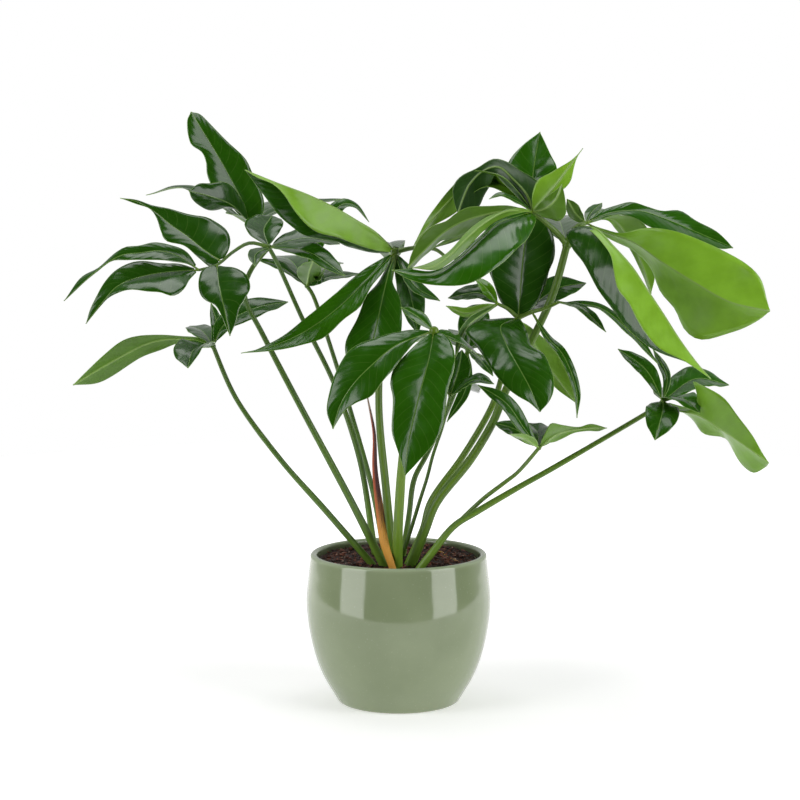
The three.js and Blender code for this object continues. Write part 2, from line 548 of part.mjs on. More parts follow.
// A closed tube over rings of points, each ring with the same count, capped at both ends by a fan
function tubeOverRings(rings) {
  const sides = rings[0].length;
  const points = rings.flat();
  const triangles = [];
  for (let ring = 0; ring + 1 < rings.length; ring++) {
    for (let side = 0; side < sides; side++) {
      const here = ring * sides + side;
      const next = ring * sides + ((side + 1) % sides);
      triangles.push([here, next, next + sides], [here, next + sides, here + sides]);
    }
  }
  const last = points.length - sides;
  for (let side = 1; side + 1 < sides; side++) {
    triangles.push([0, side + 1, side], [last, last + side, last + side + 1]);
  }
  return closedGeometry(points, triangles);
}

// A stem along a curve, its radius easing from one end to the other, made thicker by spare
function stem(curve, steps, startRadius, endRadius, spare = 0) {
  const frames = curve.computeFrenetFrames(steps, false);
  const rings = [];
  for (let step = 0; step <= steps; step++) {
    const share = step / steps;
    const centre = curve.getPointAt(share);
    const radius = THREE.MathUtils.lerp(startRadius, endRadius, share ** STEM_TAPER) + spare;
    const ring = [];
    for (let side = 0; side < STEM_SIDES; side++) {
      const turn = (side / STEM_SIDES) * 2 * Math.PI;
      ring.push(
        centre
          .clone()
          .addScaledVector(frames.normals[step], Math.cos(turn) * radius)
          .addScaledVector(frames.binormals[step], Math.sin(turn) * radius),
      );
    }
    rings.push(ring);
  }
  return tubeOverRings(rings);
}

// The same curve, drawn on by a length before its start and after its end
function lengthened(curve, before, after) {
  const start = curve.getPoint(0).addScaledVector(curve.getTangent(0), -before);
  const end = curve.getPoint(1).addScaledVector(curve.getTangent(1), after);
  return new THREE.CatmullRomCurve3([start, ...curve.points, end], false, "catmullrom", 0.5);
}

// The curve of a petiole, from the depth that it stands in the soil to just inside its crown
function petioleCurve(frond, spare = 0) {
  return lengthened(curveThrough(frond.stem), ROOT_DEPTH + spare, CROWN_REACH);
}

// Leaflets

function halfWidthAt(leaflet, along) {
  const blade = (along - STALK_SHARE) / (1 - STALK_SHARE);
  if (blade <= 0) return STALK_HALF_WIDTH;
  const skew = Math.log(0.5) / Math.log(leaflet.peak ?? PLAIN_PEAK);
  const bulge = Math.sin(Math.PI * blade ** skew) ** (leaflet.full ?? FULLNESS);
  const drip = 1 - DRIP_TIP * THREE.MathUtils.smoothstep(blade, DRIP_START, 1);
  const least = THREE.MathUtils.lerp(STALK_HALF_WIDTH, TIP_HALF_WIDTH, blade);
  return Math.max(least, (leaflet.wide / 2) * bulge * drip);
}

// The curve of a drawn edge, from the stalk to the tip
function edgeCurve(leaflet, middle, edge) {
  const face = new THREE.Vector3(...leaflet.face).normalize();
  const fold = leaflet.fold ?? PLAIN_FOLD;
  const places = edge.map(([across, down, away], order) => {
    if (away !== undefined) return place([across, down, away]);
    const beside = middle.getPointAt((order + 1) / (edge.length + 1));
    const near = place([across, down, 0]);
    const stride = place([across, down, 1]).sub(near);
    const reach = beside.clone().sub(near).dot(face) / stride.dot(face);
    const flat = near.addScaledVector(stride, reach);
    return flat.addScaledVector(stride, Math.sign(stride.dot(face)) * fold * flat.distanceTo(beside));
  });
  const ends = [leaflet.way[0], leaflet.way[leaflet.way.length - 1]].map(place);
  return new THREE.CatmullRomCurve3([ends[0], ...places, ends[1]], false, "catmullrom", 0.5);
}

// Half of a leaflet at a share of its length: the direction and distance of its edge, and its own way up
function drawnHalf(leaflet, middle, edge, along, turned) {
  const steady = THREE.MathUtils.clamp(along, STEADY, 1 - STEADY);
  const out = edge.getPointAt(steady).sub(middle.getPointAt(steady)).normalize();
  const least = THREE.MathUtils.lerp(STALK_HALF_WIDTH, TIP_HALF_WIDTH, along);
  const half = Math.max(least, edge.getPointAt(along).distanceTo(middle.getPointAt(along)));
  const up = new THREE.Vector3().crossVectors(out, middle.getTangentAt(along)).normalize();
  return { out, half, up: up.multiplyScalar(turned) };
}

// The two halves of a leaflet at a share of its length, seen with the glossy side up and the tip ahead
function halvesAt(leaflet, middle, edges, along) {
  if (edges) {
    const [left, right] = edges;
    return [drawnHalf(leaflet, middle, left, along, -1), drawnHalf(leaflet, middle, right, along, 1)];
  }
  const forward = middle.getTangentAt(along);
  const up = new THREE.Vector3(...leaflet.face).projectOnPlane(forward).normalize();
  const side = new THREE.Vector3().crossVectors(forward, up);
  const half = halfWidthAt(leaflet, along);
  const fold = leaflet.fold ?? PLAIN_FOLD;
  return [-1, 1].map((hand) => ({ out: side.clone().multiplyScalar(hand).addScaledVector(up, fold), half, up }));
}

// The curves of a leaflet's drawn edges, the left one first
function edgeCurves(leaflet, middle) {
  if (!leaflet.edges) return null;
  const edges = leaflet.edges.map((edge) => edgeCurve(leaflet, middle, edge));
  const [left, right] = halvesAt(leaflet, middle, edges, 0.5);
  const facing = left.up.clone().add(right.up).dot(new THREE.Vector3(...leaflet.face));
  return facing < 0 ? edges.reverse() : edges;
}

// One row of places across a leaflet at a share of its length, each on its middle surface, with its way up
function bladeRow(leaflet, middle, edges, along, columns, order) {
  const centre = middle.getPointAt(along);
  const [left, right] = halvesAt(leaflet, middle, edges, along);
  const row = [];
  for (let column = 0; column < columns; column++) {
    const across = (2 * column) / (columns - 1) - 1;
    const { out, half, up } = across < 0 ? left : right;
    const phase = 2 * Math.PI * WAVE_COUNT * along + order + (across < 0 ? WAVE_LAG : 0);
    const lift = WAVE * Math.sin(phase) * across ** 2 * half;
    const at = centre.clone().addScaledVector(out, Math.abs(across) * half).addScaledVector(up, lift);
    row.push({ at, up: across === 0 ? left.up.clone().add(right.up).normalize() : up });
  }
  return row;
}

// A leaflet as one closed blade, its two faces split into triangles alike
function blade(leaflet, order) {
  const middle = curveThrough(leaflet.way);
  const edges = edgeCurves(leaflet, middle);
  const stations = edges ? FINE_STATIONS : PLAIN_STATIONS;
  const columns = 3;
  const top = [];
  const bottom = [];
  for (const along of stations) {
    for (const { at, up } of bladeRow(leaflet, middle, edges, along, columns, order)) {
      top.push(at.clone().addScaledVector(up, BLADE_THICK / 2));
      bottom.push(at.clone().addScaledVector(up, -BLADE_THICK / 2));
    }
  }
  const under = top.length;
  const triangles = [];
  const quad = (a, b, c, d) => triangles.push([a, c, b], [a, d, c]);
  for (let row = 0; row + 1 < stations.length; row++) {
    for (let column = 0; column + 1 < columns; column++) {
      const a = row * columns + column;
      const b = a + 1;
      const c = b + columns;
      const d = a + columns;
      triangles.push([a, b, c], [a, c, d]);
      triangles.push([under + a, under + c, under + b], [under + a, under + d, under + c]);
    }
    const left = row * columns;
    const right = left + columns - 1;
    quad(left, under + left, under + left + columns, left + columns);
    quad(right, right + columns, under + right + columns, under + right);
  }
  const last = under - columns;
  for (let column = 0; column + 1 < columns; column++) {
    quad(column, column + 1, under + column + 1, under + column);
    quad(last + column, under + last + column, under + last + column + 1, last + column + 1);
  }
  return closedGeometry([...top, ...bottom], triangles);
}

// Pieces of the plant

function frondSolid(frond) {
  const crown = place(frond.stem[frond.stem.length - 1]);
  const knob = new THREE.OctahedronGeometry(frond.top + KNOB_SPARE, 0).translate(...crown);
  const pieces = [stem(petioleCurve(frond), STEM_STEPS, frond.foot, frond.top), knob];
  const [armStart, armEnd] = ARM_SHARES.map((share) => share * frond.top);
  for (const arm of frond.arms) pieces.push(stem(curveThrough(arm), ARM_STEPS, armStart, armEnd));
  frond.leaflets.forEach((leaflet, order) => pieces.push(blade(leaflet, order)));
  return joined(pieces);
}

function sheathGeometry(spare = 0) {
  const curve = lengthened(curveThrough(SHEATH.spine), SHEATH.depth, CROWN_REACH);
  const steps = SHEATH.halfWidths.length - 1;
  const across = new THREE.Vector3(1, 0, 0);
  const rings = SHEATH.halfWidths.map((halfWidth, step) => {
    const centre = curve.getPointAt(step / steps);
    const forward = curve.getTangentAt(step / steps);
    if (step === 0) centre.addScaledVector(forward, -spare);
    const side = across.clone().projectOnPlane(forward).normalize();
    const out = new THREE.Vector3().crossVectors(forward, side);
    const ring = [];
    for (let turn = 0; turn < STEM_SIDES; turn++) {
      const angle = (turn / STEM_SIDES) * 2 * Math.PI;
      ring.push(
        centre
          .clone()
          .addScaledVector(side, Math.cos(angle) * (halfWidth + spare))
          .addScaledVector(out, Math.sin(angle) * (SHEATH.halfThick + spare)),
      );
    }
    return ring;
  });
  return tubeOverRings(rings);
}

function rootGeometry(spare = 0) {
  const curve = lengthened(curveThrough(ROOT.spine), ROOT.reach + spare, ROOT.reach + spare);
  return stem(curve, ROOT.steps, ROOT.radius, ROOT.radius, spare);
}

function clipGeometry() {
  const frond = FRONDS.frond_back;
  const curve = petioleCurve(frond);
  const centre = curve.getPointAt(CLIP.along);
  const forward = curve.getTangentAt(CLIP.along);
  const inner = frond.top + CLIP.slack;
  const outer = inner + CLIP.wall;
  const half = CLIP.height / 2;
  const section = points2d([[inner, -half], [outer, -half], [outer, half], [inner, half], [inner, -half]]);
  const band = new THREE.LatheGeometry(section, CLIP.sides);
  const tube = new THREE.CylinderGeometry(CLIP.tubeRadius, CLIP.tubeRadius, CLIP.tubeLength, CLIP.tubeSides);
  tube.rotateZ(Math.PI / 2);
  tube.translate(outer + CLIP.tubeLength / 2 - CLIP.tubeInset, 0, 0);
  const placed = geometryOf(joined([band, tube]));
  placed.applyQuaternion(new THREE.Quaternion().setFromUnitVectors(new THREE.Vector3(0, 1, 0), forward));
  placed.translate(centre.x, centre.y, centre.z);
  return placed;
}

// The pot and what fills it

function points2d(pairs) {
  return pairs.map(([radius, height]) => new THREE.Vector2(radius, height));
}

function potOutside() {
  return new THREE.SplineCurve(points2d(POT_SIDE));
}

function insideRadius(height) {
  const outside = potOutside().getPoints(60);
  const above = outside.find((point) => point.y >= height) ?? outside[outside.length - 1];
  return above.x - POT_WALL;
}

function potGeometry() {
  const lip = POT_WALL / 2;
  const profile = points2d([[0, 0], [POT_FOOT_RADIUS, 0]]);
  profile.push(...potOutside().getPoints(POT_SIDE_STEPS));
  for (const turn of LIP_TURNS) {
    const angle = THREE.MathUtils.degToRad(turn);
    const radius = POT_RIM_RADIUS - lip + lip * Math.cos(angle);
    profile.push(new THREE.Vector2(radius, POT_HEIGHT - LIP_RISE + LIP_RISE * Math.sin(angle)));
  }
  profile.push(...points2d(POT_INSIDE_HEIGHTS.map((height) => [insideRadius(height), height])));
  profile.push(...points2d([[POT_FLOOR_RADIUS, POT_FLOOR], [0, POT_FLOOR]]));
  const pot = new THREE.LatheGeometry(profile, POT_SIDES);
  pot.rotateX(Math.PI / 2);
  return pot;
}

// Small numbers in a fixed order, from a seed
function seeded(seed) {
  let state = seed;
  return () => {
    state = (state * 1664525 + 1013904223) % 4294967296;
    return state / 4294967296;
  };
}

function soilTop(x, y) {
  const share = Math.hypot(x, y) / POT_RIM_RADIUS;
  const hills = Math.sin(x / SOIL_BUMP_LENGTHS.x + 1) * Math.cos(y / SOIL_BUMP_LENGTHS.y);
  const ridges = Math.sin((x - y) / SOIL_BUMP_LENGTHS.slant);
  const lie = SOIL_CROWN * (1 - share ** 2) + (SOIL_SLOPE * y) / POT_RIM_RADIUS;
  return SOIL_HEIGHT + lie + SOIL_BUMP * (hills + SOIL_SLANT_SHARE * ridges);
}

function soilBody() {
  const radius = (height) => insideRadius(height) - SOIL_CLEARANCE;
  const profile = points2d([[0, POT_FLOOR + GAP], [SOIL_FLOOR_RADIUS, POT_FLOOR + GAP]]);
  profile.push(...points2d(SOIL_SIDE_HEIGHTS.map((height) => [radius(height), height])));
  const rim = radius(SOIL_HEIGHT);
  profile.push(...points2d(SOIL_RINGS.map((share) => [rim * share, SOIL_HEIGHT])));
  const body = new THREE.LatheGeometry(profile, SOIL_SIDES);
  body.rotateX(Math.PI / 2);
  const at = body.attributes.position;
  for (let i = 0; i < at.count; i++) {
    if (at.getZ(i) > SOIL_HEIGHT - 1) at.setZ(i, soilTop(at.getX(i), at.getY(i)));
  }
  return body;
}

// Bark chips that lie half sunk in the soil, clear of the stems
function barkChips(feet) {
  const random = seeded(CHIP_SEED);
  const between = ([low, high]) => THREE.MathUtils.lerp(low, high, random());
  const chips = [];
  while (chips.length < CHIP_COUNT) {
    const turn = random() * 2 * Math.PI;
    const out = CHIP_SPREAD * Math.sqrt(random());
    const spot = new THREE.Vector3(Math.cos(turn) * out, Math.sin(turn) * out, 0);
    spot.z = soilTop(spot.x, spot.y) + CHIP_RISE;
    const length = between(CHIP_LENGTH);
    const chip = new THREE.BoxGeometry(length, length * between(CHIP_WIDTH_SHARE), between(CHIP_THICK));
    const tilt = new THREE.Euler(random() * CHIP_TILT, random() * CHIP_TILT, random() * 2 * Math.PI);
    chip.applyQuaternion(new THREE.Quaternion().setFromEuler(tilt));
    chip.translate(spot.x, spot.y, spot.z);
    const reach = length / 2 + CHIP_CLEAR;
    if (feet.every((foot) => Math.hypot(foot.x - spot.x, foot.y - spot.y) > reach)) chips.push(chip);
  }
  return chips;
}

function soilSolid() {
  const fronds = Object.values(FRONDS);
  const feet = [...fronds.map((frond) => frond.stem[0]), SHEATH.spine[0], ...ROOT.spine].map(place);
  let soil = joined([soilBody(), ...barkChips(feet)]);
  for (const frond of fronds) {
    const hole = stem(petioleCurve(frond, GAP), STEM_STEPS, frond.foot, frond.top, GAP);
    soil = soil.subtract(solidOf(hole));
  }
  soil = soil.subtract(solidOf(sheathGeometry(2 * GAP)));
  return soil.subtract(solidOf(rootGeometry(GAP)));
}

// The whole object

const plant = new THREE.Group();
plant.name = "potted_green_wonder_philodendron";

function addPiece(name, geometry, look) {
  const piece = new THREE.Mesh(geometry, new THREE.MeshStandardMaterial(LOOKS[look]));
  piece.name = name;
  plant.add(piece);
}

addPiece("pot", potGeometry(), "glaze");
addPiece("soil", geometryOf(soilSolid()), "soil");
for (const [name, frond] of Object.entries(FRONDS)) addPiece(name, geometryOf(frondSolid(frond)), "leaf");
addPiece("dry_sheath", sheathGeometry(), "sheath");
addPiece("loose_root", rootGeometry(), "root");
addPiece("plant_clip", clipGeometry(), "clip");

export default plant;
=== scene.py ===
"""Potted green wonder philodendron: the looks of every piece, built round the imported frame.

Each operator makes one piece, or a group of like pieces, from the sizes and colours in the panel.
Places in the plant are [across, down, away]: the first two in the photograph's pixels, the third in
millimetres behind the pot's axis. Shapes are worked out in millimetres and kept in metres.
"""

import math
import random

import bpy
import numpy as np
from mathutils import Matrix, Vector, noise


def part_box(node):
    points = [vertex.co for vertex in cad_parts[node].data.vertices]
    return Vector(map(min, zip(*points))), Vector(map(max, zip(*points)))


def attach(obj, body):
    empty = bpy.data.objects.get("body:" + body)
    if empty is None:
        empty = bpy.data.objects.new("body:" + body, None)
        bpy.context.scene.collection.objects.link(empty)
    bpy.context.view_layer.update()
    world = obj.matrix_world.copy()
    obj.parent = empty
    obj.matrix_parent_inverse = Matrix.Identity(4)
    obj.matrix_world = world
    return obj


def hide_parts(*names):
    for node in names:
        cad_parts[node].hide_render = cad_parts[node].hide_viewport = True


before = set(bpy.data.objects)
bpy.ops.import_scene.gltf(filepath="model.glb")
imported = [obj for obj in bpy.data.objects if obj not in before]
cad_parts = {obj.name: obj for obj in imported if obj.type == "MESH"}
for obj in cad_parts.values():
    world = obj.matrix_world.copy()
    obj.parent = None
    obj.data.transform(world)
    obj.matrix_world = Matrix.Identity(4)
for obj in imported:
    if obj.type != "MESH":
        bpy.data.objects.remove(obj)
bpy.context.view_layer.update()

bl_info = {
    "name": "Potted Green Wonder Philodendron",
    "version": (1, 0, 0),
    "blender": (4, 5, 0),
    "location": "View3D > Sidebar > Philodendron",
    "description": "Builds a potted philodendron with compound leaves in a glazed bowl pot",
    "category": "Add Mesh",
}

MM = 0.001
BODY = "root"

# The photograph's viewpoint: the camera stands 2845 mm in front of the pot's axis and 720 mm up
AXIS_ACROSS = 398.5
MIDDLE_DOWN = 400
LENS_PIXELS = 2370
TILT = math.radians(7)
EYE = np.array([0.0, -2845.0, 720.0])

# What is the same on every leaflet, as in the construction: lengths in millimetres, and shares of its length
# or of its half width
STALK_SHARE = 0.05
STALK_HALF_WIDTH = 1.5
TIP_HALF_WIDTH = 0.6
FULLNESS = 0.72
PLAIN_PEAK = 0.5
DRIP_TIP = 0.3
DRIP_START = 0.8
PLAIN_FOLD = 0.15
STEADY = 0.05  # share at either end over which a drawn edge keeps its direction
WAVE = 0.05
WAVE_COUNT = 2.3
WAVE_LAG = 2.0
ROOT_DEPTH = 16
CROWN_REACH = 0.5

# What only the looks have
BLADE_ROWS = 40
BLADE_COLUMNS = 21
STALK_RINGS = 9
PETIOLE_RINGS = 64
PETIOLE_SIDES = 16
PETIOLE_TAPER = 0.7
ARM_RINGS = 16
ARM_SIDES = 12
KNOB_SWELL = 1.35
RIPPLE = 0.03
RIPPLE_COUNT = 4.6
ARCH = 0.2
GROOVE_DEPTH = 0.3
VEIN_SPACING = 13
VEIN_SLANT = 0.16

# The fronds. stem runs from the soil to the crown, foot and top are the petiole's radii there, and arms are
# the rachis branches. A leaflet's way runs from its stalk over its bends to its tip, face is the way that its
# glossy side looks, and fold how far its halves rise to that side. A leaflet's width is either wide, with
# peak where along the blade it is widest and full how round its sides are, or drawn by its two edges. A place
# on an edge lies in the leaflet's own plane where it doesn't say how far away it is. tint tells how bright
# the green is, from 0 to 1, and under the same for an underside that differs. On a leaflet both are partly
# the leaf's own age and partly painted light: a bright one stands for light glowing through the blade, a
# dark one for painted shade.
FRONDS = {
    "frond_low_left": {
        "foot": 4.6, "top": 2.6, "tint": 0.3,
        "stem": [(372, 564, -22), (326, 511, -28), (280, 459, -34), (237, 400, -38), (213, 346, -40)],
        "arms": [],
        "leaflets": [
            {"face": (0, 0.8, 0.5), "tint": 0.5, "under": 0.4,
             "way": [(213, 346, -40), (187, 339, -48), (152, 342, -60), (115, 360, -76), (73, 385, -88)],
             "edges": [[(200, 338), (182, 336), (160, 335), (138, 336), (119, 342), (103, 356), (88, 370)],
                       [(196, 345), (180, 343), (165, 348), (147, 355), (129, 365), (112, 376),
                        (92, 384)]]},
            {"wide": 44, "face": (-0.35, -0.75, 0.6), "fold": 0.4, "tint": 0.15,
             "way": [(213, 346, -40), (194, 350, -78), (188, 368, -108)]},
            {"wide": 36, "face": (0, -0.2, 1), "tint": 0.2,
             "way": [(213, 346, -40), (203, 332, 0), (190, 326, 40)]},
            {"wide": 16, "face": (-0.5, -0.8, 0.2), "tint": 0.15,
             "way": [(213, 346, -40), (217, 325, -20), (211, 303, -4)]},
            {"wide": 34, "face": (0.1, -0.55, 0.8), "tint": 0.2,
             "way": [(213, 346, -40), (225, 324, -30), (256, 308, -10), (288, 302, 15)]},
        ],
    },
    "frond_left": {
        "foot": 5.6, "top": 2.6, "tint": 0.3,
        "stem": [(384, 566, -30), (350, 499, -40), (297, 400, -52), (262, 333, -60), (245, 298, -64),
                 (250, 272, -66), (269, 247, -70)],
        "arms": [
            [(269, 247, -70), (250, 243, -80), (233, 252, -90), (217, 265, -100), (199, 270, -108)],
        ],
        "leaflets": [
            {"face": (0.25, -0.85, 0.4), "tint": 0.15,
             "way": [(222, 262, -98), (203, 249, -82), (187, 236, -70), (171, 225, -62), (155, 212, -57),
                     (138, 202, -54), (120, 198, -52)],
             "edges": [[(229, 250), (230, 237), (223, 226), (210, 218), (194, 216), (171, 209), (152, 205),
                        (137, 200)],
                       [(212, 268), (198, 257), (184, 246), (166, 241), (161, 231), (157, 219),
                        (150, 209), (136, 204)]]},
            {"face": (0, -0.7, 0.7), "tint": 0.15, "under": 0.5,
             "way": [(199, 270, -108), (180, 257, -118), (160, 251, -126), (140, 253, -134),
                     (120, 256, -139), (97, 271, -143), (64, 301, -148)],
             "edges": [[(187, 252), (171, 245), (155, 242), (139, 246), (126, 247), (115, 253), (99, 267),
                        (82, 277)],
                       [(185, 263), (166, 261), (148, 260), (130, 260), (112, 261), (98, 271), (82, 284)]]},
            {"face": (-0.15, -0.75, 0.65), "tint": 0.15,
             "way": [(199, 270, -108), (168, 272, -126), (140, 277, -142), (118, 286, -154),
                     (103, 302, -161), (86, 324, -166)],
             "edges": [[(181, 264), (165, 263), (147, 262), (130, 263), (116, 270), (105, 281), (97, 296),
                        (90, 310)],
                       [(190, 279), (184, 290), (172, 296), (158, 291), (142, 290), (125, 291),
                        (110, 297), (99, 308)]]},
            {"face": (0, -0.85, 0.5), "fold": 0.1, "tint": 0.12,
             "way": [(217, 265, -100), (219, 284, -126), (223, 303, -146), (230, 336, -168)],
             "edges": [[(203, 269), (199, 279), (199, 290), (204, 299), (215, 305), (222, 317), (226, 327)],
                       [(227, 267), (240, 270), (248, 277), (250, 288), (247, 297), (240, 307),
                        (236, 322)]]},
            {"wide": 38, "face": (0, -0.4, 0.9), "tint": 0.15,
             "way": [(269, 247, -70), (305, 238, -50), (340, 244, -36)]},
            {"wide": 38, "face": (0.2, -0.45, 0.87), "tint": 0.2,
             "way": [(269, 247, -70), (308, 252, -98), (345, 276, -115)]},
            {"wide": 46, "face": (0, -0.45, 0.9), "fold": 0.3, "tint": 0.15,
             "way": [(269, 247, -70), (264, 230, -42), (272, 216, -8)]},
            {"wide": 18, "face": (0, -0.5, 0.8), "tint": 0.15,
             "way": [(269, 247, -70), (256, 254, -108), (255, 266, -134)]},
        ],
    },
    "frond_upper_left": {
        "foot": 4.2, "top": 2.4, "tint": 0.3,
        "stem": [(373, 541, 2), (360, 461, 22), (336, 388, 38), (303, 320, 48), (272, 253, 52),
                 (249, 224, 50)],
        "arms": [],
        "leaflets": [
            {"face": (0.25, -0.95, 0.15), "tint": 0.25,
             "way": [(249, 224, 50), (243, 203, 49), (231, 179, 46), (218, 156, 40), (204, 133, 32),
                     (191, 112, 20)],
             "edges": [[(262, 215), (264, 201), (259, 186), (252, 172), (245, 158), (229, 143), (218, 132),
                        (201, 115)],
                       [(240, 216), (228, 203), (214, 190), (207, 175), (206, 162), (202, 152),
                        (190, 143), (187, 122)]]},
            {"face": (-0.1, -0.95, 0.3), "tint": 0.12,
             "way": [(249, 224, 50), (233, 206, 28), (213, 197, 8), (189, 191, -8)],
             "edges": [[(244, 203), (234, 189), (224, 182), (210, 183), (198, 184)],
                       [(238, 211), (226, 208), (212, 211), (200, 206), (192, 199)]]},
            {"wide": 26, "face": (0, -0.15, 1), "tint": 0.15,
             "way": [(249, 224, 50), (190, 189, 74), (146, 195, 92)]},
            {"wide": 20, "face": (0, -0.4, 0.9), "tint": 0.2,
             "way": [(249, 224, 50), (236, 216, 22), (226, 213, 0)]},
            {"wide": 30, "face": (0, -0.2, 1), "tint": 0.2,
             "way": [(249, 224, 50), (292, 206, 96), (343, 199, 135)]},
            {"wide": 50, "face": (0, -0.1, 1), "tint": 0.2,
             "way": [(249, 224, 50), (257, 206, 115), (262, 204, 175)]},
        ],
    },
    "frond_behind_left": {
        "foot": 4, "top": 2.4, "tint": 0.3,
        "stem": [(383, 543, 24), (371, 484, 44), (349, 406, 66), (330, 345, 82), (315, 300, 90),
                 (307, 286, 92)],
        "arms": [],
        "leaflets": [
            {"wide": 20, "face": (-0.2, -0.4, 0.9), "tint": 0.2,
             "way": [(307, 286, 92), (281, 267, 84), (256, 259, 86)]},
            {"wide": 30, "face": (0, 0.6, 0.8), "tint": 0.35,
             "way": [(307, 286, 92), (309, 273, 62), (313, 261, 34)]},
            {"wide": 16, "face": (0.5, -0.7, 0.5), "tint": 0.2,
             "way": [(307, 286, 92), (318, 278, 78), (325, 269, 62)]},
            {"wide": 26, "face": (0, -0.3, 0.95), "tint": 0.2,
             "way": [(307, 286, 92), (332, 277, 112), (363, 274, 140)]},
            {"wide": 20, "face": (0.2, -0.6, 0.8), "tint": 0.35,
             "way": [(307, 286, 92), (318, 242, 116), (337, 208, 136), (354, 205, 150), (369, 222, 166)]},
            {"wide": 44, "face": (0, -0.1, 1), "tint": 0.2,
             "way": [(307, 286, 92), (292, 262, 150), (276, 256, 205)]},
            {"wide": 46, "face": (0, -0.1, 1), "tint": 0.2,
             "way": [(307, 286, 92), (322, 268, 160), (338, 262, 225)]},
        ],
    },
    "frond_middle": {
        "foot": 6, "top": 3.4, "tint": 0.4,
        "stem": [(391, 546, -4), (386, 489, -4), (380, 429, -8), (379, 381, -14), (383, 320, -22),
                 (395, 252, -32)],
        "arms": [
            [(395, 252, -32), (414, 248, -12), (434, 249, 8), (446, 257, 22)],
        ],
        "leaflets": [
            {"face": (0, -0.1, -1), "tint": 0.2, "under": 0.85,
             "way": [(395, 252, -32), (376, 233, -52), (357, 221, -68), (335, 208, -82), (308, 195, -94),
                     (277, 183, -104), (245, 170, -112)],
             "edges": [[(386, 252, -44), (370, 249, -58), (352, 243, -74), (335, 237, -90),
                        (319, 232, -102), (305, 223, -110), (294, 210, -114), (285, 197, -118),
                        (272, 184, -118), (257, 177, -116)],
                       [(384, 253, -34), (366, 252, -46), (348, 247, -58), (336, 241, -68),
                        (320, 239, -76), (304, 235, -82), (293, 228, -86), (280, 217, -90),
                        (267, 199, -96), (256, 185, -102)]]},
            {"face": (-0.25, -0.8, 0.55), "tint": 0.55,
             "way": [(395, 252, -32), (366, 281, -70), (338, 308, -90), (306, 331, -106), (273, 346, -118),
                     (241, 353, -128)],
             "edges": [[(381, 259), (363, 270), (349, 281), (335, 294), (308, 316), (281, 337), (256, 350)],
                       [(386, 268), (372, 286), (361, 306), (343, 320), (322, 338), (300, 346),
                        (270, 351)]]},
            {"face": (0, -0.95, 0.3), "tint": 0.3,
             "way": [(395, 252, -32), (388, 275, -58), (380, 310, -80), (372, 345, -95), (364, 378, -104)],
             "edges": [[(378, 282), (366, 297), (357, 319), (346, 341), (346, 360), (353, 372)],
                       [(392, 280), (400, 298), (402, 320), (399, 344), (388, 364), (376, 374)]]},
            {"wide": 34, "face": (0.3, -0.9, 0.2), "tint": 0.3,
             "way": [(395, 252, -32), (410, 294, -4), (418, 334, 12)]},
            {"wide": 24, "face": (0.2, -0.6, 0.75), "tint": 0.3,
             "way": [(395, 252, -32), (414, 285, -20), (440, 301, -12)]},
            {"wide": 44, "face": (0, -0.3, 0.95), "tint": 0.2,
             "way": [(446, 257, 22), (467, 262, 60), (492, 272, 105)]},
            {"wide": 40, "face": (0, -0.2, 1), "tint": 0.2,
             "way": [(395, 252, -32), (389, 243, 50), (391, 263, 132)]},
        ],
    },
    "frond_front": {
        "foot": 6.8, "top": 4.2, "tint": 0.5,
        "stem": [(397, 568, -44), (399, 510, -62), (405, 440, -90), (420, 375, -120), (434, 331, -140)],
        "arms": [],
        "leaflets": [
            {"face": (-0.35, -0.85, 0.4), "tint": 0.25,
             "way": [(434, 331, -140), (397, 345, -170), (370, 367, -186), (352, 386, -192),
                     (340, 406, -196), (333, 429, -198)],
             "edges": [[(411, 330), (388, 334), (365, 341), (347, 354), (336, 372), (329, 393), (327, 412)],
                       [(417, 341), (405, 354), (395, 368), (383, 381), (370, 396), (355, 404),
                        (344, 412)]]},
            {"face": (0, -0.95, 0.3), "tint": 0.3,
             "way": [(434, 331, -140), (429, 359, -170), (422, 386, -190), (415, 413, -203),
                     (408, 445, -213), (405, 476, -218)],
             "edges": [[(421, 340), (408, 352), (395, 366), (390, 383), (393, 399), (392, 430), (397, 449),
                        (402, 464)],
                       [(447, 336), (454, 350), (455, 367), (449, 386), (446, 404), (444, 422),
                        (436, 441), (420, 460)]]},
            {"wide": 16, "face": (-0.3, -0.5, 0.8), "tint": 0.3,
             "way": [(434, 331, -140), (418, 317, -115), (401, 307, -92)]},
            {"wide": 32, "face": (0.2, -0.5, 0.85), "tint": 0.25,
             "way": [(434, 331, -140), (460, 342, -104), (483, 359, -62)]},
            {"wide": 26, "face": (0, -0.5, 0.85), "tint": 0.25,
             "way": [(434, 331, -140), (440, 345, -100), (452, 352, -68)]},
        ],
    },
    "frond_right": {
        "foot": 5.4, "top": 3.2, "tint": 0.45,
        "stem": [(409, 563, -14), (423, 530, -6), (432, 500, 2), (461, 459, 12), (486, 418, 14),
                 (498, 390, 12), (508, 350, 2), (518, 318, -18)],
        "arms": [
            [(518, 318, -18), (508, 309, -26), (498, 304, -32)],
            [(518, 318, -18), (532, 312, -36), (546, 308, -44), (559, 302, -46)],
        ],
        "leaflets": [
            {"face": (0, -0.95, 0.2), "tint": 0.03,
             "way": [(518, 318, -18), (520, 296, -4), (522, 270, 4), (525, 243, 9), (531, 212, 12)],
             "edges": [[(530, 311), (539, 300), (545, 287), (549, 272), (554, 260), (555, 247), (552, 232),
                        (543, 219)],
                       [(508, 311), (500, 300), (494, 285), (489, 271), (490, 256), (501, 238),
                        (516, 221)]]},
            {"wide": 40, "face": (0.1, -0.6, 0.8), "tint": 0.15,
             "way": [(518, 318, -18), (554, 290, 26), (586, 283, 60)]},
            {"wide": 18, "face": (0.2, -0.4, 0.9), "tint": 0.15,
             "way": [(559, 302, -46), (582, 309, -66), (606, 332, -84)]},
            {"wide": 20, "face": (0.2, -0.4, 0.9), "tint": 0.15,
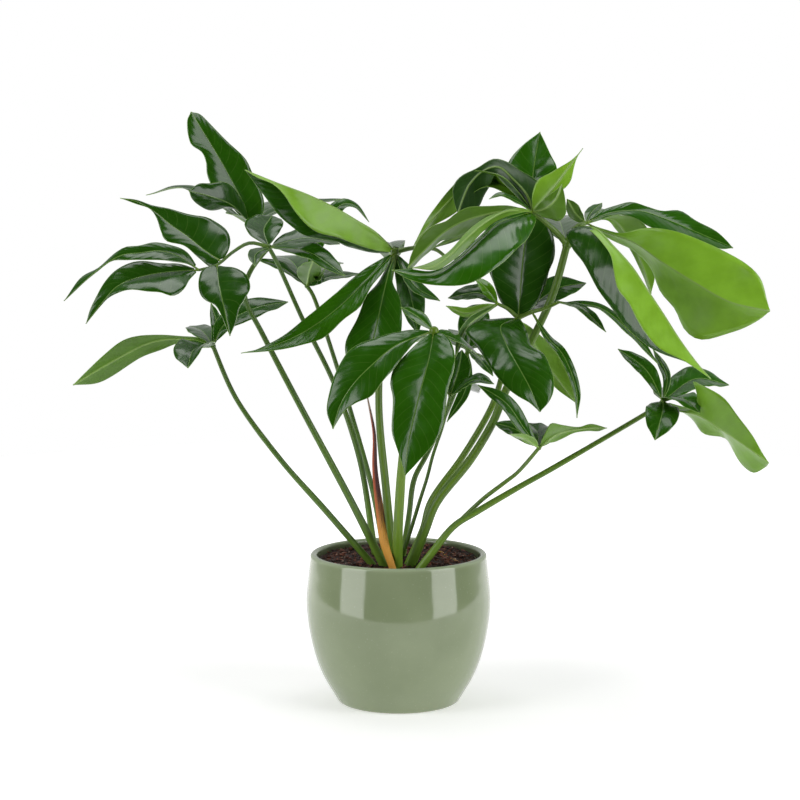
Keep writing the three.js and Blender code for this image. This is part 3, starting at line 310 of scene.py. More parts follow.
             "way": [(559, 302, -46), (600, 308, -30), (632, 334, -34), (658, 364, -48)]},
            {"face": (0.15, -0.9, 0.4), "tint": 0.25,
             "way": [(518, 318, -18), (501, 326, -60), (506, 344, -88), (518, 366, -112), (530, 388, -128),
                     (540, 412, -138)],
             "edges": [[(499, 318), (480, 322), (466, 329), (471, 339), (480, 350), (487, 362), (492, 372),
                        (504, 385), (518, 396), (530, 403)],
                       [(521, 321), (527, 331), (531, 343), (540, 352), (548, 362), (553, 375),
                        (554, 389), (549, 402)]]},
            {"wide": 16, "face": (-0.5, 0.7, 0.5), "tint": 0.2,
             "way": [(498, 304, -32), (467, 327, -66), (455, 358, -76)]},
            {"wide": 13, "face": (0.3, -0.8, 0.5), "tint": 0.3,
             "way": [(532, 312, -36), (547, 337, -58), (561, 352, -74), (571, 372, -84), (577, 394, -90),
                     (577, 418, -94)]},
            {"wide": 36, "face": (0.3, 0.8, 0.4), "tint": 0.3, "under": 0.6,
             "way": [(518, 318, -18), (546, 362, 26), (575, 402, 40)]},
            {"wide": 30, "face": (0, -0.55, 0.83), "tint": 0.05,
             "way": [(498, 304, -32), (478, 293, -16), (448, 298, -6)]},
            {"wide": 15, "face": (-0.5, -0.6, 0.6), "tint": 0.7,
             "way": [(498, 304, -32), (488, 290, -40), (475, 278, -50)]},
            {"wide": 15, "face": (0, 0.8, 0.5), "tint": 0.3, "under": 0.6,
             "way": [(498, 304, -32), (484, 308, -38), (466, 313, -46), (446, 306, -50)]},
            {"wide": 54, "face": (0, -0.15, 1), "tint": 0.2,
             "way": [(518, 318, -18), (530, 300, 66), (541, 294, 140)]},
        ],
    },
    "frond_top_right": {
        "foot": 6.2, "top": 4.4, "tint": 0.4,
        "stem": [(410, 568, -32), (425, 530, -31), (438, 500, -28), (470, 460, -20), (493, 422, -14),
                 (506, 390, -12), (533, 338, -10), (553, 294, -12), (567, 245, -10)],
        "arms": [
            [(567, 245, -10), (558, 234, -18), (546, 223, -25), (533, 212, -30)],
            [(567, 245, -10), (571, 233, -8), (578, 226, -4), (586, 223, 0)],
        ],
        "leaflets": [
            {"face": (-0.1, -0.8, 0.6), "tint": 0.35,
             "way": [(533, 212, -30), (515, 217, -56), (497, 224, -76), (480, 239, -96), (461, 257, -114),
                     (438, 273, -130), (415, 275, -142), (392, 270, -152)],
             "edges": [[(521, 208), (507, 209), (494, 217), (487, 229), (473, 242), (460, 255), (446, 266),
                        (430, 271), (410, 269)],
                       [(536, 221), (527, 239), (517, 250), (503, 263), (489, 273), (472, 281),
                        (452, 286), (430, 285), (408, 279)]]},
            {"face": (0.1, 0.8, -0.3), "tint": 0.3, "under": 0.5,
             "way": [(533, 212, -30), (508, 211, -72), (486, 222, -96), (467, 238, -114), (449, 256, -128),
                     (432, 267, -140), (412, 268, -148)],
             "edges": [[(520, 208), (496, 213), (476, 224), (459, 241), (444, 255), (426, 264)],
                       [(520, 213), (498, 220), (483, 232), (468, 247), (452, 261), (436, 270)]]},
            {"face": (0, 0.7, 0.7), "tint": 0.4, "under": 0.4,
             "way": [(533, 212, -30), (505, 211, -34), (480, 216, -38), (460, 223, -44), (442, 234, -50),
                     (425, 250, -56), (408, 268, -60)],
             "edges": [[(512, 206), (490, 206), (469, 207), (456, 213), (446, 221), (431, 227), (419, 239),
                        (411, 255)],
                       [(512, 214), (491, 221), (472, 232), (454, 238), (439, 241), (427, 255),
                        (415, 266)]]},
            {"wide": 24, "face": (0, 0.5, 0.85), "tint": 0.3, "under": 0.3,
             "way": [(533, 212, -30), (500, 219, -8), (475, 230, 2), (452, 240, 8), (433, 248, 10)]},
            {"face": (0, 0.95, 0.3), "tint": 0.3, "under": 0.05,
             "way": [(533, 212, -30), (527, 195, -20), (514, 180, -8), (499, 167, 4), (483, 171, 14),
                     (470, 184, 20), (463, 199, 24), (458, 214, 28)],
             "edges": [[(546, 191), (535, 179), (520, 170), (508, 162), (493, 159), (477, 168), (461, 176),
                        (453, 187), (454, 202)],
                       [(521, 201), (510, 190), (501, 181), (495, 175), (490, 186), (484, 197),
                        (478, 207), (467, 211)]]},
            {"face": (-0.2, 0.9, 0.3), "tint": 0.3, "under": 0.6,
             "way": [(533, 212, -30), (505, 186, 20), (478, 180, 44), (458, 192, 54), (440, 211, 58),
                     (425, 230, 58), (413, 247, 54)],
             "edges": [[(508, 180), (484, 170), (463, 177), (448, 191), (434, 209), (424, 224), (417, 238)],
                       [(506, 192), (484, 188), (468, 198), (457, 212), (441, 221), (428, 229),
                        (419, 240)]]},
            {"face": (0, -0.93, 0.35), "tint": 0.3,
             "way": [(533, 212, -30), (532, 186, 0), (535, 160, 22), (540, 132, 42)],
             "edges": [[(520, 200), (509, 182), (507, 167), (513, 155), (524, 144), (533, 137)],
                       [(545, 198), (556, 182), (557, 168), (550, 153), (544, 140)]]},
            {"face": (0.1, 0.95, 0.2), "tint": 0.8, "under": 0.9,
             "way": [(533, 212, -30), (545, 198, -36), (557, 184, -42), (567, 170, -46), (573, 161, -47),
                     (583, 148, -48)],
             "edges": [[(532, 197), (537, 181), (548, 174), (560, 167), (570, 161), (577, 155)],
                       [(544, 207), (556, 195), (566, 187), (571, 180), (574, 168), (577, 158)]]},
            {"face": (0.2, 0.9, 0.3), "tint": 0.4, "under": 0.4,
             "way": [(533, 212, -30), (546, 208, -44), (556, 199, -50), (562, 184, -54)],
             "edges": [[(540, 203), (547, 196), (556, 190)],
                       [(546, 218), (558, 221), (566, 213), (565, 197)]]},
            {"wide": 18, "face": (0, 0.8, 0.4), "tint": 0.3, "under": 0.4,
             "way": [(586, 223, 0), (575, 213, 12), (567, 199, 24)]},
            {"face": (-0.8, -0.1, -0.6), "tint": 0.2, "under": 0.95,
             "way": [(579, 226, -4), (596, 229, -30), (614, 247, -58), (632, 267, -82), (648, 291, -102),
                     (664, 315, -118), (680, 340, -131), (697, 363, -142), (711, 379, -148)],
             "edges": [[(592, 232, -34), (604, 245, -56), (611, 257, -72), (614, 273, -88),
                        (618, 290, -102), (629, 303, -114), (637, 318, -124), (646, 334, -133),
                        (659, 349, -141), (684, 361, -148)],
                       [(566, 232, -14), (572, 248, -28), (583, 262, -44), (592, 277, -58),
                        (600, 293, -70), (613, 311, -84), (628, 329, -98), (645, 344, -111),
                        (663, 354, -124), (690, 364, -138)]]},
            {"face": (0, 0.9, 0.4), "tint": 0.4, "under": 0.85,
             "way": [(586, 223, 0), (606, 232, -12), (635, 243, -30), (662, 262, -44), (697, 284, -58),
                     (730, 302, -68), (770, 311, -76)],
             "edges": [[(604, 229), (622, 233), (645, 228), (672, 230), (700, 240), (728, 253), (748, 265),
                        (761, 279), (767, 300)],
                       [(610, 240), (634, 250), (650, 266), (660, 290), (672, 308), (683, 329),
                        (705, 338), (735, 331), (758, 321)]]},
            {"face": (0, -0.6, 0.8), "tint": 0.3,
             "way": [(586, 223, 0), (610, 213, 18), (640, 211, 30), (668, 220, 40), (696, 232, 44),
                     (733, 248, 36)],
             "edges": [[(600, 211), (617, 205), (632, 202), (648, 207), (662, 211), (680, 210), (695, 220),
                        (714, 230), (726, 240)],
                       [(600, 220), (618, 215), (636, 218), (652, 228), (680, 237), (702, 244),
                        (720, 249)]]},
            {"face": (0.2, 0.8, 0.5), "tint": 0.4, "under": 0.6,
             "way": [(586, 223, 0), (612, 219, 26), (630, 240, 46), (643, 266, 58), (651, 294, 66)],
             "edges": [[(612, 215), (635, 217), (648, 230), (652, 252), (655, 275)],
                       [(606, 220), (616, 230), (628, 246), (637, 263), (646, 284)]]},
            {"wide": 16, "face": (0, -0.3, 0.95), "tint": 0.3,
             "way": [(586, 223, 0), (592, 212, 20), (602, 203, 42)]},
            {"wide": 14, "face": (0, -0.4, 0.9), "tint": 0.2,
             "way": [(533, 212, -30), (516, 201, -34), (501, 195, -36), (489, 199, -36)]},
            {"wide": 58, "face": (0, -0.15, 1), "tint": 0.2,
             "way": [(567, 245, -10), (560, 222, 80), (556, 216, 160)]},
            {"wide": 52, "face": (0, -0.15, 1), "tint": 0.2,
             "way": [(586, 223, 0), (612, 214, 84), (636, 216, 160)]},
        ],
    },
    "frond_far_right": {
        "foot": 5, "top": 2.6, "tint": 0.4,
        "stem": [(421, 567, -50), (431, 554, -49), (453, 527, -45), (478, 511, -44), (519, 487, -42),
                 (560, 464, -40), (647, 413, -40), (663, 401, -40)],
        "arms": [],
        "leaflets": [
            {"wide": 40, "face": (0, -0.75, 0.65), "tint": 0.25,
             "way": [(663, 401, -40), (662, 414, -86), (655, 440, -116)]},
            {"wide": 22, "face": (0.2, -0.8, 0.5), "tint": 0.25,
             "way": [(663, 401, -40), (646, 370, -20), (618, 349, 2)]},
            {"wide": 12, "face": (-0.6, -0.75, 0.1), "tint": 0.2,
             "way": [(663, 401, -40), (667, 376, -26), (653, 349, -14)]},
            {"wide": 40, "face": (0, -0.55, 0.83), "tint": 0.3,
             "way": [(663, 401, -40), (695, 379, 0), (729, 385, 22)]},
            {"wide": 36, "face": (0.2, -0.55, 0.8), "tint": 0.4,
             "way": [(663, 401, -40), (682, 398, -80), (700, 413, -106)]},
            {"face": (0, 0.85, 0.5), "tint": 0.4, "under": 0.6,
             "way": [(663, 401, -40), (676, 410, -62), (700, 416, -92), (725, 432, -116), (748, 448, -130),
                     (769, 463, -142)],
             "edges": [[(684, 407), (699, 405), (698, 393), (694, 381), (706, 386), (722, 399), (739, 417),
                        (753, 436), (763, 454)],
                       [(686, 414), (694, 421), (704, 432), (723, 440), (733, 450), (743, 465),
                        (755, 471), (765, 468)]]},
            {"wide": 40, "face": (0, -0.15, 1), "tint": 0.2,
             "way": [(663, 401, -40), (670, 392, 30), (678, 390, 90)]},
        ],
    },
    "frond_low_right": {
        "foot": 3.4, "top": 2.2, "tint": 0.4,
        "stem": [(432, 552, -18), (446, 535, -25), (464, 517, -31), (483, 499, -37), (504, 483, -42),
                 (519, 471, -46), (539, 448, -58)],
        "arms": [],
        "leaflets": [
            {"wide": 24, "face": (0, -0.65, 0.75), "tint": 0.25,
             "way": [(539, 448, -58), (516, 430, -38), (494, 423, -22)]},
            {"wide": 18, "face": (0, 0.4, 0.9), "tint": 0.4, "under": 0.6,
             "way": [(539, 448, -58), (524, 438, -88), (510, 434, -112)]},
            {"wide": 34, "face": (0, -0.35, 0.93), "tint": 0.25,
             "way": [(539, 448, -58), (537, 432, -20), (528, 423, 18)]},
            {"face": (0, 0.8, 0.6), "tint": 0.3, "under": 0.5,
             "way": [(539, 448, -58), (556, 435, -50), (580, 429, -40), (607, 428, -30)],
             "edges": [[(543, 437), (551, 424), (563, 425), (578, 427), (592, 424)],
                       [(547, 444), (557, 441), (571, 434), (586, 431), (598, 431)]]},
            {"wide": 20, "face": (0.2, -0.8, 0.4), "tint": 0.3,
             "way": [(539, 448, -58), (524, 428, -60), (506, 403, -63), (478, 385, -66)]},
            {"wide": 34, "face": (0, -0.15, 1), "tint": 0.2,
             "way": [(539, 448, -58), (549, 437, 0), (558, 431, 56)]},
        ],
    },
    "frond_back": {
        "foot": 3.8, "top": 2.8, "tint": 0.3,
        "stem": [(404, 548, 18), (409, 515, 34), (414, 480, 46), (428, 452, 56), (450, 404, 76),
                 (459, 380, 86), (468, 350, 98)],
        "arms": [],
        "leaflets": [
            {"wide": 16, "face": (-0.5, -0.8, 0.3), "tint": 0.2,
             "way": [(468, 350, 98), (466, 388, 66), (447, 422, 48)]},
            {"wide": 16, "face": (0, -0.4, 0.9), "tint": 0.2,
             "way": [(468, 350, 98), (482, 362, 76), (493, 376, 62)]},
            {"wide": 50, "face": (0, -0.15, 1), "tint": 0.2,
             "way": [(468, 350, 98), (498, 338, 154), (526, 346, 215)]},
            {"wide": 50, "face": (0, -0.15, 1), "tint": 0.2,
             "way": [(468, 350, 98), (442, 337, 152), (414, 342, 220)]},
            {"wide": 54, "face": (0, -0.1, 1), "tint": 0.2,
             "way": [(468, 350, 98), (469, 334, 172), (470, 342, 262)]},
            {"wide": 40, "face": (0.2, -0.8, 0.5), "tint": 0.2,
             "way": [(468, 350, 98), (473, 325, 106), (484, 304, 124)]},
        ],
    },
    "frond_thin": {
        "foot": 2.8, "top": 1.8, "tint": 0.3,
        "stem": [(402, 557, 2), (412, 526, 4), (420, 500, 6), (427, 478, 5), (433, 455, 4), (443, 425, 0),
                 (450, 396, -6)],
        "arms": [],
        "leaflets": [
            {"wide": 34, "face": (0, -0.8, 0.5), "tint": 0.2,
             "way": [(450, 396, -6), (434, 368, -30), (424, 344, -44)]},
            {"wide": 30, "face": (0, -0.85, 0.4), "tint": 0.2,
             "way": [(450, 396, -6), (458, 372, 8), (462, 350, 20)]},
            {"wide": 24, "face": (0.1, -0.5, 0.85), "tint": 0.25,
             "way": [(450, 396, -6), (474, 380, -24), (494, 384, -36)]},
        ],
    },
}

# The dry sheath, the loose root, and the clip, which sits at this share of its petiole
SHEATH_SPINE = [
    (392, 567, -58), (384, 540, -53), (379, 505, -48), (375, 468, -46), (374, 432, -44), (368, 400, -44),
]
SHEATH_HALF_WIDTHS = [4, 5.4, 4.8, 3.2, 2, 0.8]
SHEATH_DEPTH = 9
ROOT_SPINE = [(436, 553, 40), (441, 552, 34), (448, 558, 18), (454, 560, 6), (460, 563, -4)]
CLIP_ALONG = 0.83
CLIP_HEIGHT = 15
CLIP_TUBE_LENGTH = 24
CLIP_SPARE = 1.2
CLIP_WALL = 2
CLIP_ROUNDING = 0.5
CLIP_TUBE_RADIUS = 5
CLIP_BORE_RADIUS = 3.4

# The pot's side as radius and height, below its belly and above it, and its lip and foot
POT_SIDE = [(94.8, 38), (107, 78)]
POT_BELLY_HEIGHT = 122
POT_SHOULDER = (109.6, 160)
POT_LIP = 4
POT_SIDES = 160

# The soil's filling below its top: rings at these heights, the lowest of this radius
BED_HEIGHTS = (158, 140, 110, 70, 41, 16.5)
BED_FOOT_RADIUS = 58
BED_SIDES = 120
BED_SPARE = 0.6
SOIL_BUMP = 1.6

# The studio, in metres, and the floor's disc in millimetres
SOFTBOX_SPOT = (1.62, -1.0, 0.75)
SOFTBOX_SIZE = (1.2, 2.3)
OVERHEAD_SPOT = (0, 0.25, 2.3)
OVERHEAD_SIZE = (1.6, 1.0)
LIT_SPOT = (0, 0, 0.5)
FLOOR_RADIUS = 1400
FLOOR_BEHIND = 900


# Places and ways


def place(spot):
    """A place in the plant in millimetres, from its photograph pixels and how far away it is."""
    across, down, away = spot
    dip = TILT + math.atan((down - MIDDLE_DOWN) / LENS_PIXELS)
    height = EYE[2] - (away - EYE[1]) * math.tan(dip)
    depth = (away - EYE[1]) * math.cos(TILT) + (EYE[2] - height) * math.sin(TILT)
    return np.array([(across - AXIS_ACROSS) * depth / LENS_PIXELS, away, height])


def places(spots):
    return np.array([place(spot) for spot in spots])


class Way:
    """A smooth way through points, read by shares of its length."""

    STEPS = 200

    def __init__(self, points):
        before = 2 * points[0] - points[1]
        after = 2 * points[-1] - points[-2]
        self.points = points
        self.knots = np.vstack([before, points, after])
        self.marks = np.linspace(0, 1, self.STEPS + 1)
        strides = np.linalg.norm(np.diff(self.at_marks(self.marks), axis=0), axis=1)
        self.walked = np.concatenate([[0], np.cumsum(strides)])

    @property
    def length(self):
        return self.walked[-1]

    def at_marks(self, marks):
        spans = len(self.points) - 1
        where = np.clip(marks, 0, 1) * spans
        first = np.minimum(where.astype(int), spans - 1)
        t = (where - first)[:, None]
        p0, p1, p2, p3 = (self.knots[first + step] for step in range(4))
        out, into = (p2 - p0) / 2, (p3 - p1) / 2
        bend = -3 * p1 + 3 * p2 - 2 * out - into
        close = 2 * p1 - 2 * p2 + out + into
        return p1 + out * t + bend * t**2 + close * t**3

    def marks_of(self, shares):
        return np.interp(np.asarray(shares) * self.length, self.walked, self.marks)

    def at(self, shares):
        return self.at_marks(self.marks_of(shares))

    def heading(self, shares):
        marks = self.marks_of(shares)
        ahead = self.at_marks(marks + 1e-4) - self.at_marks(marks - 1e-4)
        return unit(ahead)

    def lengthened(self, before, after):
        ends = self.at(np.array([0.0, 1.0]))
        ways = self.heading(np.array([0.0, 1.0]))
        start = ends[0] - ways[0] * before
        finish = ends[1] + ways[1] * after
        return Way(np.vstack([start, self.points, finish]))


def unit(vectors):
    return vectors / np.linalg.norm(vectors, axis=-1, keepdims=True)


def smooth(low, high, value):
    share = np.clip((value - low) / (high - low), 0, 1)
    return share * share * (3 - 2 * share)


def petiole_way(row):
    return Way(places(row["stem"])).lengthened(ROOT_DEPTH, CROWN_REACH)


# Meshes


class Shape:
    """Gathers points in millimetres, faces with their finish, and the values that the finishes read."""

    def __init__(self, *values):
        self.points = []
        self.faces = []
        self.finishes = []
        self.values = {name: [] for name in values}
        self.count = 0

    def add(self, points, faces, finish=0, **values):
        points = np.asarray(points, float).reshape(-1, 3)
        self.points.append(points)
        self.faces.extend([[self.count + corner for corner in face] for face in faces])
        self.finishes.extend([finish] * len(faces))
        for name, gathered in self.values.items():
            gathered.append(np.broadcast_to(values.get(name, 0.0), len(points)).astype(float))
        self.count += len(points)

    def object(self, name, materials, smooth_faces=True):
        mesh = bpy.data.meshes.new(name)
        points = np.vstack(self.points) * MM
        mesh.from_pydata(points.tolist(), [], self.faces)
        mesh.polygons.foreach_set("material_index", self.finishes)
        mesh.polygons.foreach_set("use_smooth", [smooth_faces] * len(mesh.polygons))
        for value, gathered in self.values.items():
            attribute = mesh.attributes.new(value, "FLOAT", "POINT")
            attribute.data.foreach_set("value", np.concatenate(gathered).astype(np.float32))
        for material in materials:
            mesh.materials.append(material)
        mesh.update()
        piece = bpy.data.objects.new(name, mesh)
        bpy.context.scene.collection.objects.link(piece)
        return piece


def hand_over(piece, node):
    """The piece stands for its solid, which is hidden, and moves with its body."""
    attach(piece, BODY)
    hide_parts(node)


def grid_faces(rows, columns, closed=False, start=0):
    """Faces of a grid of points, row by row; a closed one joins its last column to its first."""
    faces = []
    for row in range(rows - 1):
        for column in range(columns if closed else columns - 1):
            here = start + row * columns + column
            beside = start + row * columns + (column + 1) % columns
            faces.append((here, beside, beside + columns, here + columns))
    return faces


def close_rim(shape, rows, columns, turned=False):
    """Joins the last two grids of points along their outer edge."""
    under = rows * columns
    start = shape.count - 2 * under
    rim = list(range(columns)) + [row * columns + columns - 1 for row in range(1, rows)]
    rim += [(rows - 1) * columns + column for column in range(columns - 2, -1, -1)]
    rim += [row * columns for row in range(rows - 2, 0, -1)]
    for here, after in zip(rim, rim[1:] + rim[:1]):
        corners = [start + corner for corner in (here, here + under, after + under, after)]
        shape.faces.append(corners[::-1] if turned else corners)
        shape.finishes.append(0)


def rings_along(way, shares, radii, sides):
    """Rings of points round a way, turned as little as they can be from one to the next."""
    centres = way.at(shares)
    headings = way.heading(shares)
    across = unit(np.cross(headings[0], [0.0, 1.0, 0.2]))
    turns = np.linspace(0, 2 * math.pi, sides, endpoint=False)
    rings = []
    for centre, heading, radius in zip(centres, headings, radii):
        across = unit(across - heading * (across @ heading))
        other = np.cross(heading, across)
        rings.append(centre + radius * (np.cos(turns)[:, None] * across + np.sin(turns)[:, None] * other))
    return np.array(rings), turns


def add_stem(shape, way, shares, radii, sides, finish, **values):
    """A round closed stem along a way."""
    rings, turns = rings_along(way, shares, radii, sides)
    count = len(shares)
    faces = grid_faces(count, sides, closed=True)
    faces.append(tuple(reversed(range(sides))))
    faces.append(tuple(range((count - 1) * sides, count * sides)))
    shape.add(
        rings.reshape(-1, 3),
        faces,
        finish,
        along=np.repeat(shares, sides),
        round_x=np.tile(np.cos(turns), count),
        round_y=np.tile(np.sin(turns), count),
        **values,
    )


# Finishes


class Finish:
    """A material with its surface shader, and short calls for the nodes that feed it."""

    def __init__(self, name, **sockets):
        self.material = bpy.data.materials.new(name)
        self.material.use_nodes = True
        self.nodes = self.material.node_tree.nodes
        self.links = self.material.node_tree.links
        self.surface = self.nodes["Principled BSDF"]
        for socket, value in sockets.items():
            self.surface.inputs[socket.replace("_", " ")].default_value = value

    def node(self, kind, inputs=(), **settings):
        made = self.nodes.new(kind)
        for setting, value in settings.items():
            setattr(made, setting, value)
        for socket, value in dict(inputs).items():
            self.feed(made.inputs[socket], value)
        return made

    def feed(self, socket, value):
        if isinstance(value, bpy.types.NodeSocket):
            self.links.new(value, socket)
        else:
            socket.default_value = value

    def value(self, name):
        return self.node("ShaderNodeAttribute", attribute_name=name).outputs["Fac"]

    def where(self):
        return self.node("ShaderNodeTexCoord").outputs["Object"]

    def maths(self, operation, first, second=0.0):
        return self.node("ShaderNodeMath", {0: first, 1: second}, operation=operation).outputs[0]

    def ramp(self, value, low, high, start=0.0, end=1.0):
        """The value eased from start, where it is low, to end, where it is high."""
        inputs = {"Value": value, 1: low, 2: high, 3: start, 4: end}
        return self.node("ShaderNodeMapRange", inputs, interpolation_type="SMOOTHSTEP").outputs[0]

    def blend(self, share, one, other, blend_type="MIX"):
        inputs = {"Factor": share, 6: one, 7: other}
        made = self.node("ShaderNodeMix", data_type="RGBA", blend_type=blend_type)
        for socket, value in inputs.items():
            self.feed(made.inputs[0] if socket == "Factor" else made.inputs[socket], value)
        return made.outputs[2]

    def noise(self, vector, scale, detail=3.0, roughness=0.5):
        inputs = {"Vector": vector, "Scale": scale, "Detail": detail, "Roughness": roughness}
        return self.node("ShaderNodeTexNoise", inputs).outputs["Fac"]

    def stretched(self, vector, scale):
        return self.node("ShaderNodeMapping", {"Vector": vector, "Scale": scale}).outputs[0]

    def vector(self, x, y, z):
        return self.node("ShaderNodeCombineXYZ", {0: x, 1: y, 2: z}).outputs[0]

    def relief(self, *heights):
        """Bumps one on another, each given as its height's value and its depth in metres."""
        normal = None
        for height, depth in heights:
            inputs = {"Height": height, "Distance": depth, "Strength": 1.0}
            if normal is not None:
                inputs["Normal"] = normal
            normal = self.node("ShaderNodeBump", inputs).outputs[0]
        self.feed(self.surface.inputs["Normal"], normal)

    def colour(self, value):
        self.feed(self.surface.inputs["Base Color"], value)

    def roughness(self, value):
        self.feed(self.surface.inputs["Roughness"], value)


def solid_colour(colour):
    return (*colour[:3], 1.0)


# The sizes and colours that a user would change


def colour_property(name, description, default):
    return bpy.props.FloatVectorProperty(
        name=name, description=description, default=default, subtype="COLOR", size=3, min=0, max=1
    )


def length_property(name, description, default):
    return bpy.props.FloatProperty(name=name, description=description, default=default, unit="LENGTH", min=0)


class PhilodendronPot(bpy.types.PropertyGroup):
    foot_radius: length_property("Foot radius", "Radius of the flat underside", 0.070)
    widest_radius: length_property("Widest radius", "Radius at the belly", 0.1125)
    rim_radius: length_property("Rim radius", "Outer radius below the lip", 0.1075)
    height: length_property("Height", "Height of the rim over the table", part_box("pot")[1].z)
    wall: length_property("Wall", "Thickness of the wall and of the rounded lip", 0.0085)
    floor: length_property("Floor", "Thickness of the bottom", 0.016)
    glaze: colour_property("Glaze", "Main colour of the sage glaze", (0.235, 0.282, 0.165))
    glaze_shade: colour_property("Glaze shade", "Where the glaze pools", (0.196, 0.240, 0.134))
    clay: colour_property("Clay", "Bare fired clay under the foot", (0.55, 0.45, 0.34))


class PhilodendronSoil(bpy.types.PropertyGroup):
    height: length_property("Height", "Height of the soil at the wall", 0.172)
    crown: length_property("Crown", "How much higher the soil is in the middle", 0.003)
    slope: length_property("Slope", "How much higher the soil is at the back than in the middle", 0.005)
    chips: bpy.props.IntProperty(name="Chips", description="Loose bark chips", default=1500, min=0)
    crumbs: bpy.props.IntProperty(name="Pale crumbs", description="Pale mineral crumbs", default=90, min=0)
    seed: bpy.props.IntProperty(name="Seed", description="Order of the chips", default=7)
    dark: colour_property("Dark bark", "Wet bark", (0.018, 0.006, 0.004))
    light: colour_property("Light bark", "Dry and broken bark", (0.26, 0.075, 0.036))
    pale: colour_property("Pale crumb", "Mineral crumbs", (0.62, 0.48, 0.38))


class PhilodendronLeaves(bpy.types.PropertyGroup):
    thickness: length_property("Thickness", "Thickness of a blade beside its midrib", 0.0007)
    midrib: length_property("Midrib", "How far the midrib stands out below", 0.0011)
    vein_depth: length_property("Vein depth", "Relief between the side veins", 0.00012)
    # The leaf greens, picked by each leaflet's tint, are partly the leaf's age and partly painted light: the
    # bright ones paint light glowing through a backlit blade, the dark ones painted shade.
    dark: colour_property("Dark leaf", "Upper side of an old leaf", (0.014, 0.060, 0.003))
    middle: colour_property("Middle leaf", "Upper side of a grown leaf", (0.026, 0.125, 0.002))
    bright: colour_property("Bright leaf", "Upper side of a young leaf", (0.170, 0.400, 0.012))
    under_dark: colour_property("Dark underside", "Underside of an old leaf", (0.030, 0.090, 0.014))
    under_bright: colour_property("Bright underside", "Underside of a young leaf", (0.225, 0.46, 0.025))
    # The rib colour also paints the pale margin line, which is painted light through the thin edge.
    rib: colour_property("Rib", "Midrib and margin", (0.26, 0.42, 0.10))
    petiole_dark: colour_property("Dark petiole", "Old petioles", (0.045, 0.110, 0.028))
    petiole_bright: colour_property("Bright petiole", "Young petioles", (0.20, 0.33, 0.002))


class PhilodendronExtras(bpy.types.PropertyGroup):
    sheath_thickness: length_property("Sheath thickness", "Thickness of the dry sheath", 0.0006)
    sheath_dark: colour_property("Dark sheath", "Shaded and older part", (0.065, 0.010, 0.008))
    sheath_red: colour_property("Red sheath", "Orange-red edge", (0.42, 0.075, 0.020))
    sheath_yellow: colour_property("Yellow sheath", "Foot of the sheath", (0.72, 0.34, 0.04))
    sheath_tip: colour_property("Sheath tip", "Withered tip", (0.30, 0.22, 0.16))
    root: colour_property("Dry root", "The loose root on the soil", (0.72, 0.40, 0.07))
    clip: colour_property("Clip", "Moulded white plastic", (0.72, 0.72, 0.74))


class PhilodendronStage(bpy.types.PropertyGroup):
    box_power: bpy.props.FloatProperty(
        name="Softbox power", description="Power of each softbox beside the camera", default=33, unit="POWER"
    )
    top_power: bpy.props.FloatProperty(
        name="Overhead power", description="Power of the soft light overhead", default=17, unit="POWER"
    )
    floor: colour_property("Floor", "The plain pale floor", (0.88, 0.88, 0.88))
    floor_glow: bpy.props.FloatProperty(
        name="Floor glow", description="Light that the lit floor gives back evenly", default=0.42, min=0
    )


# The stage


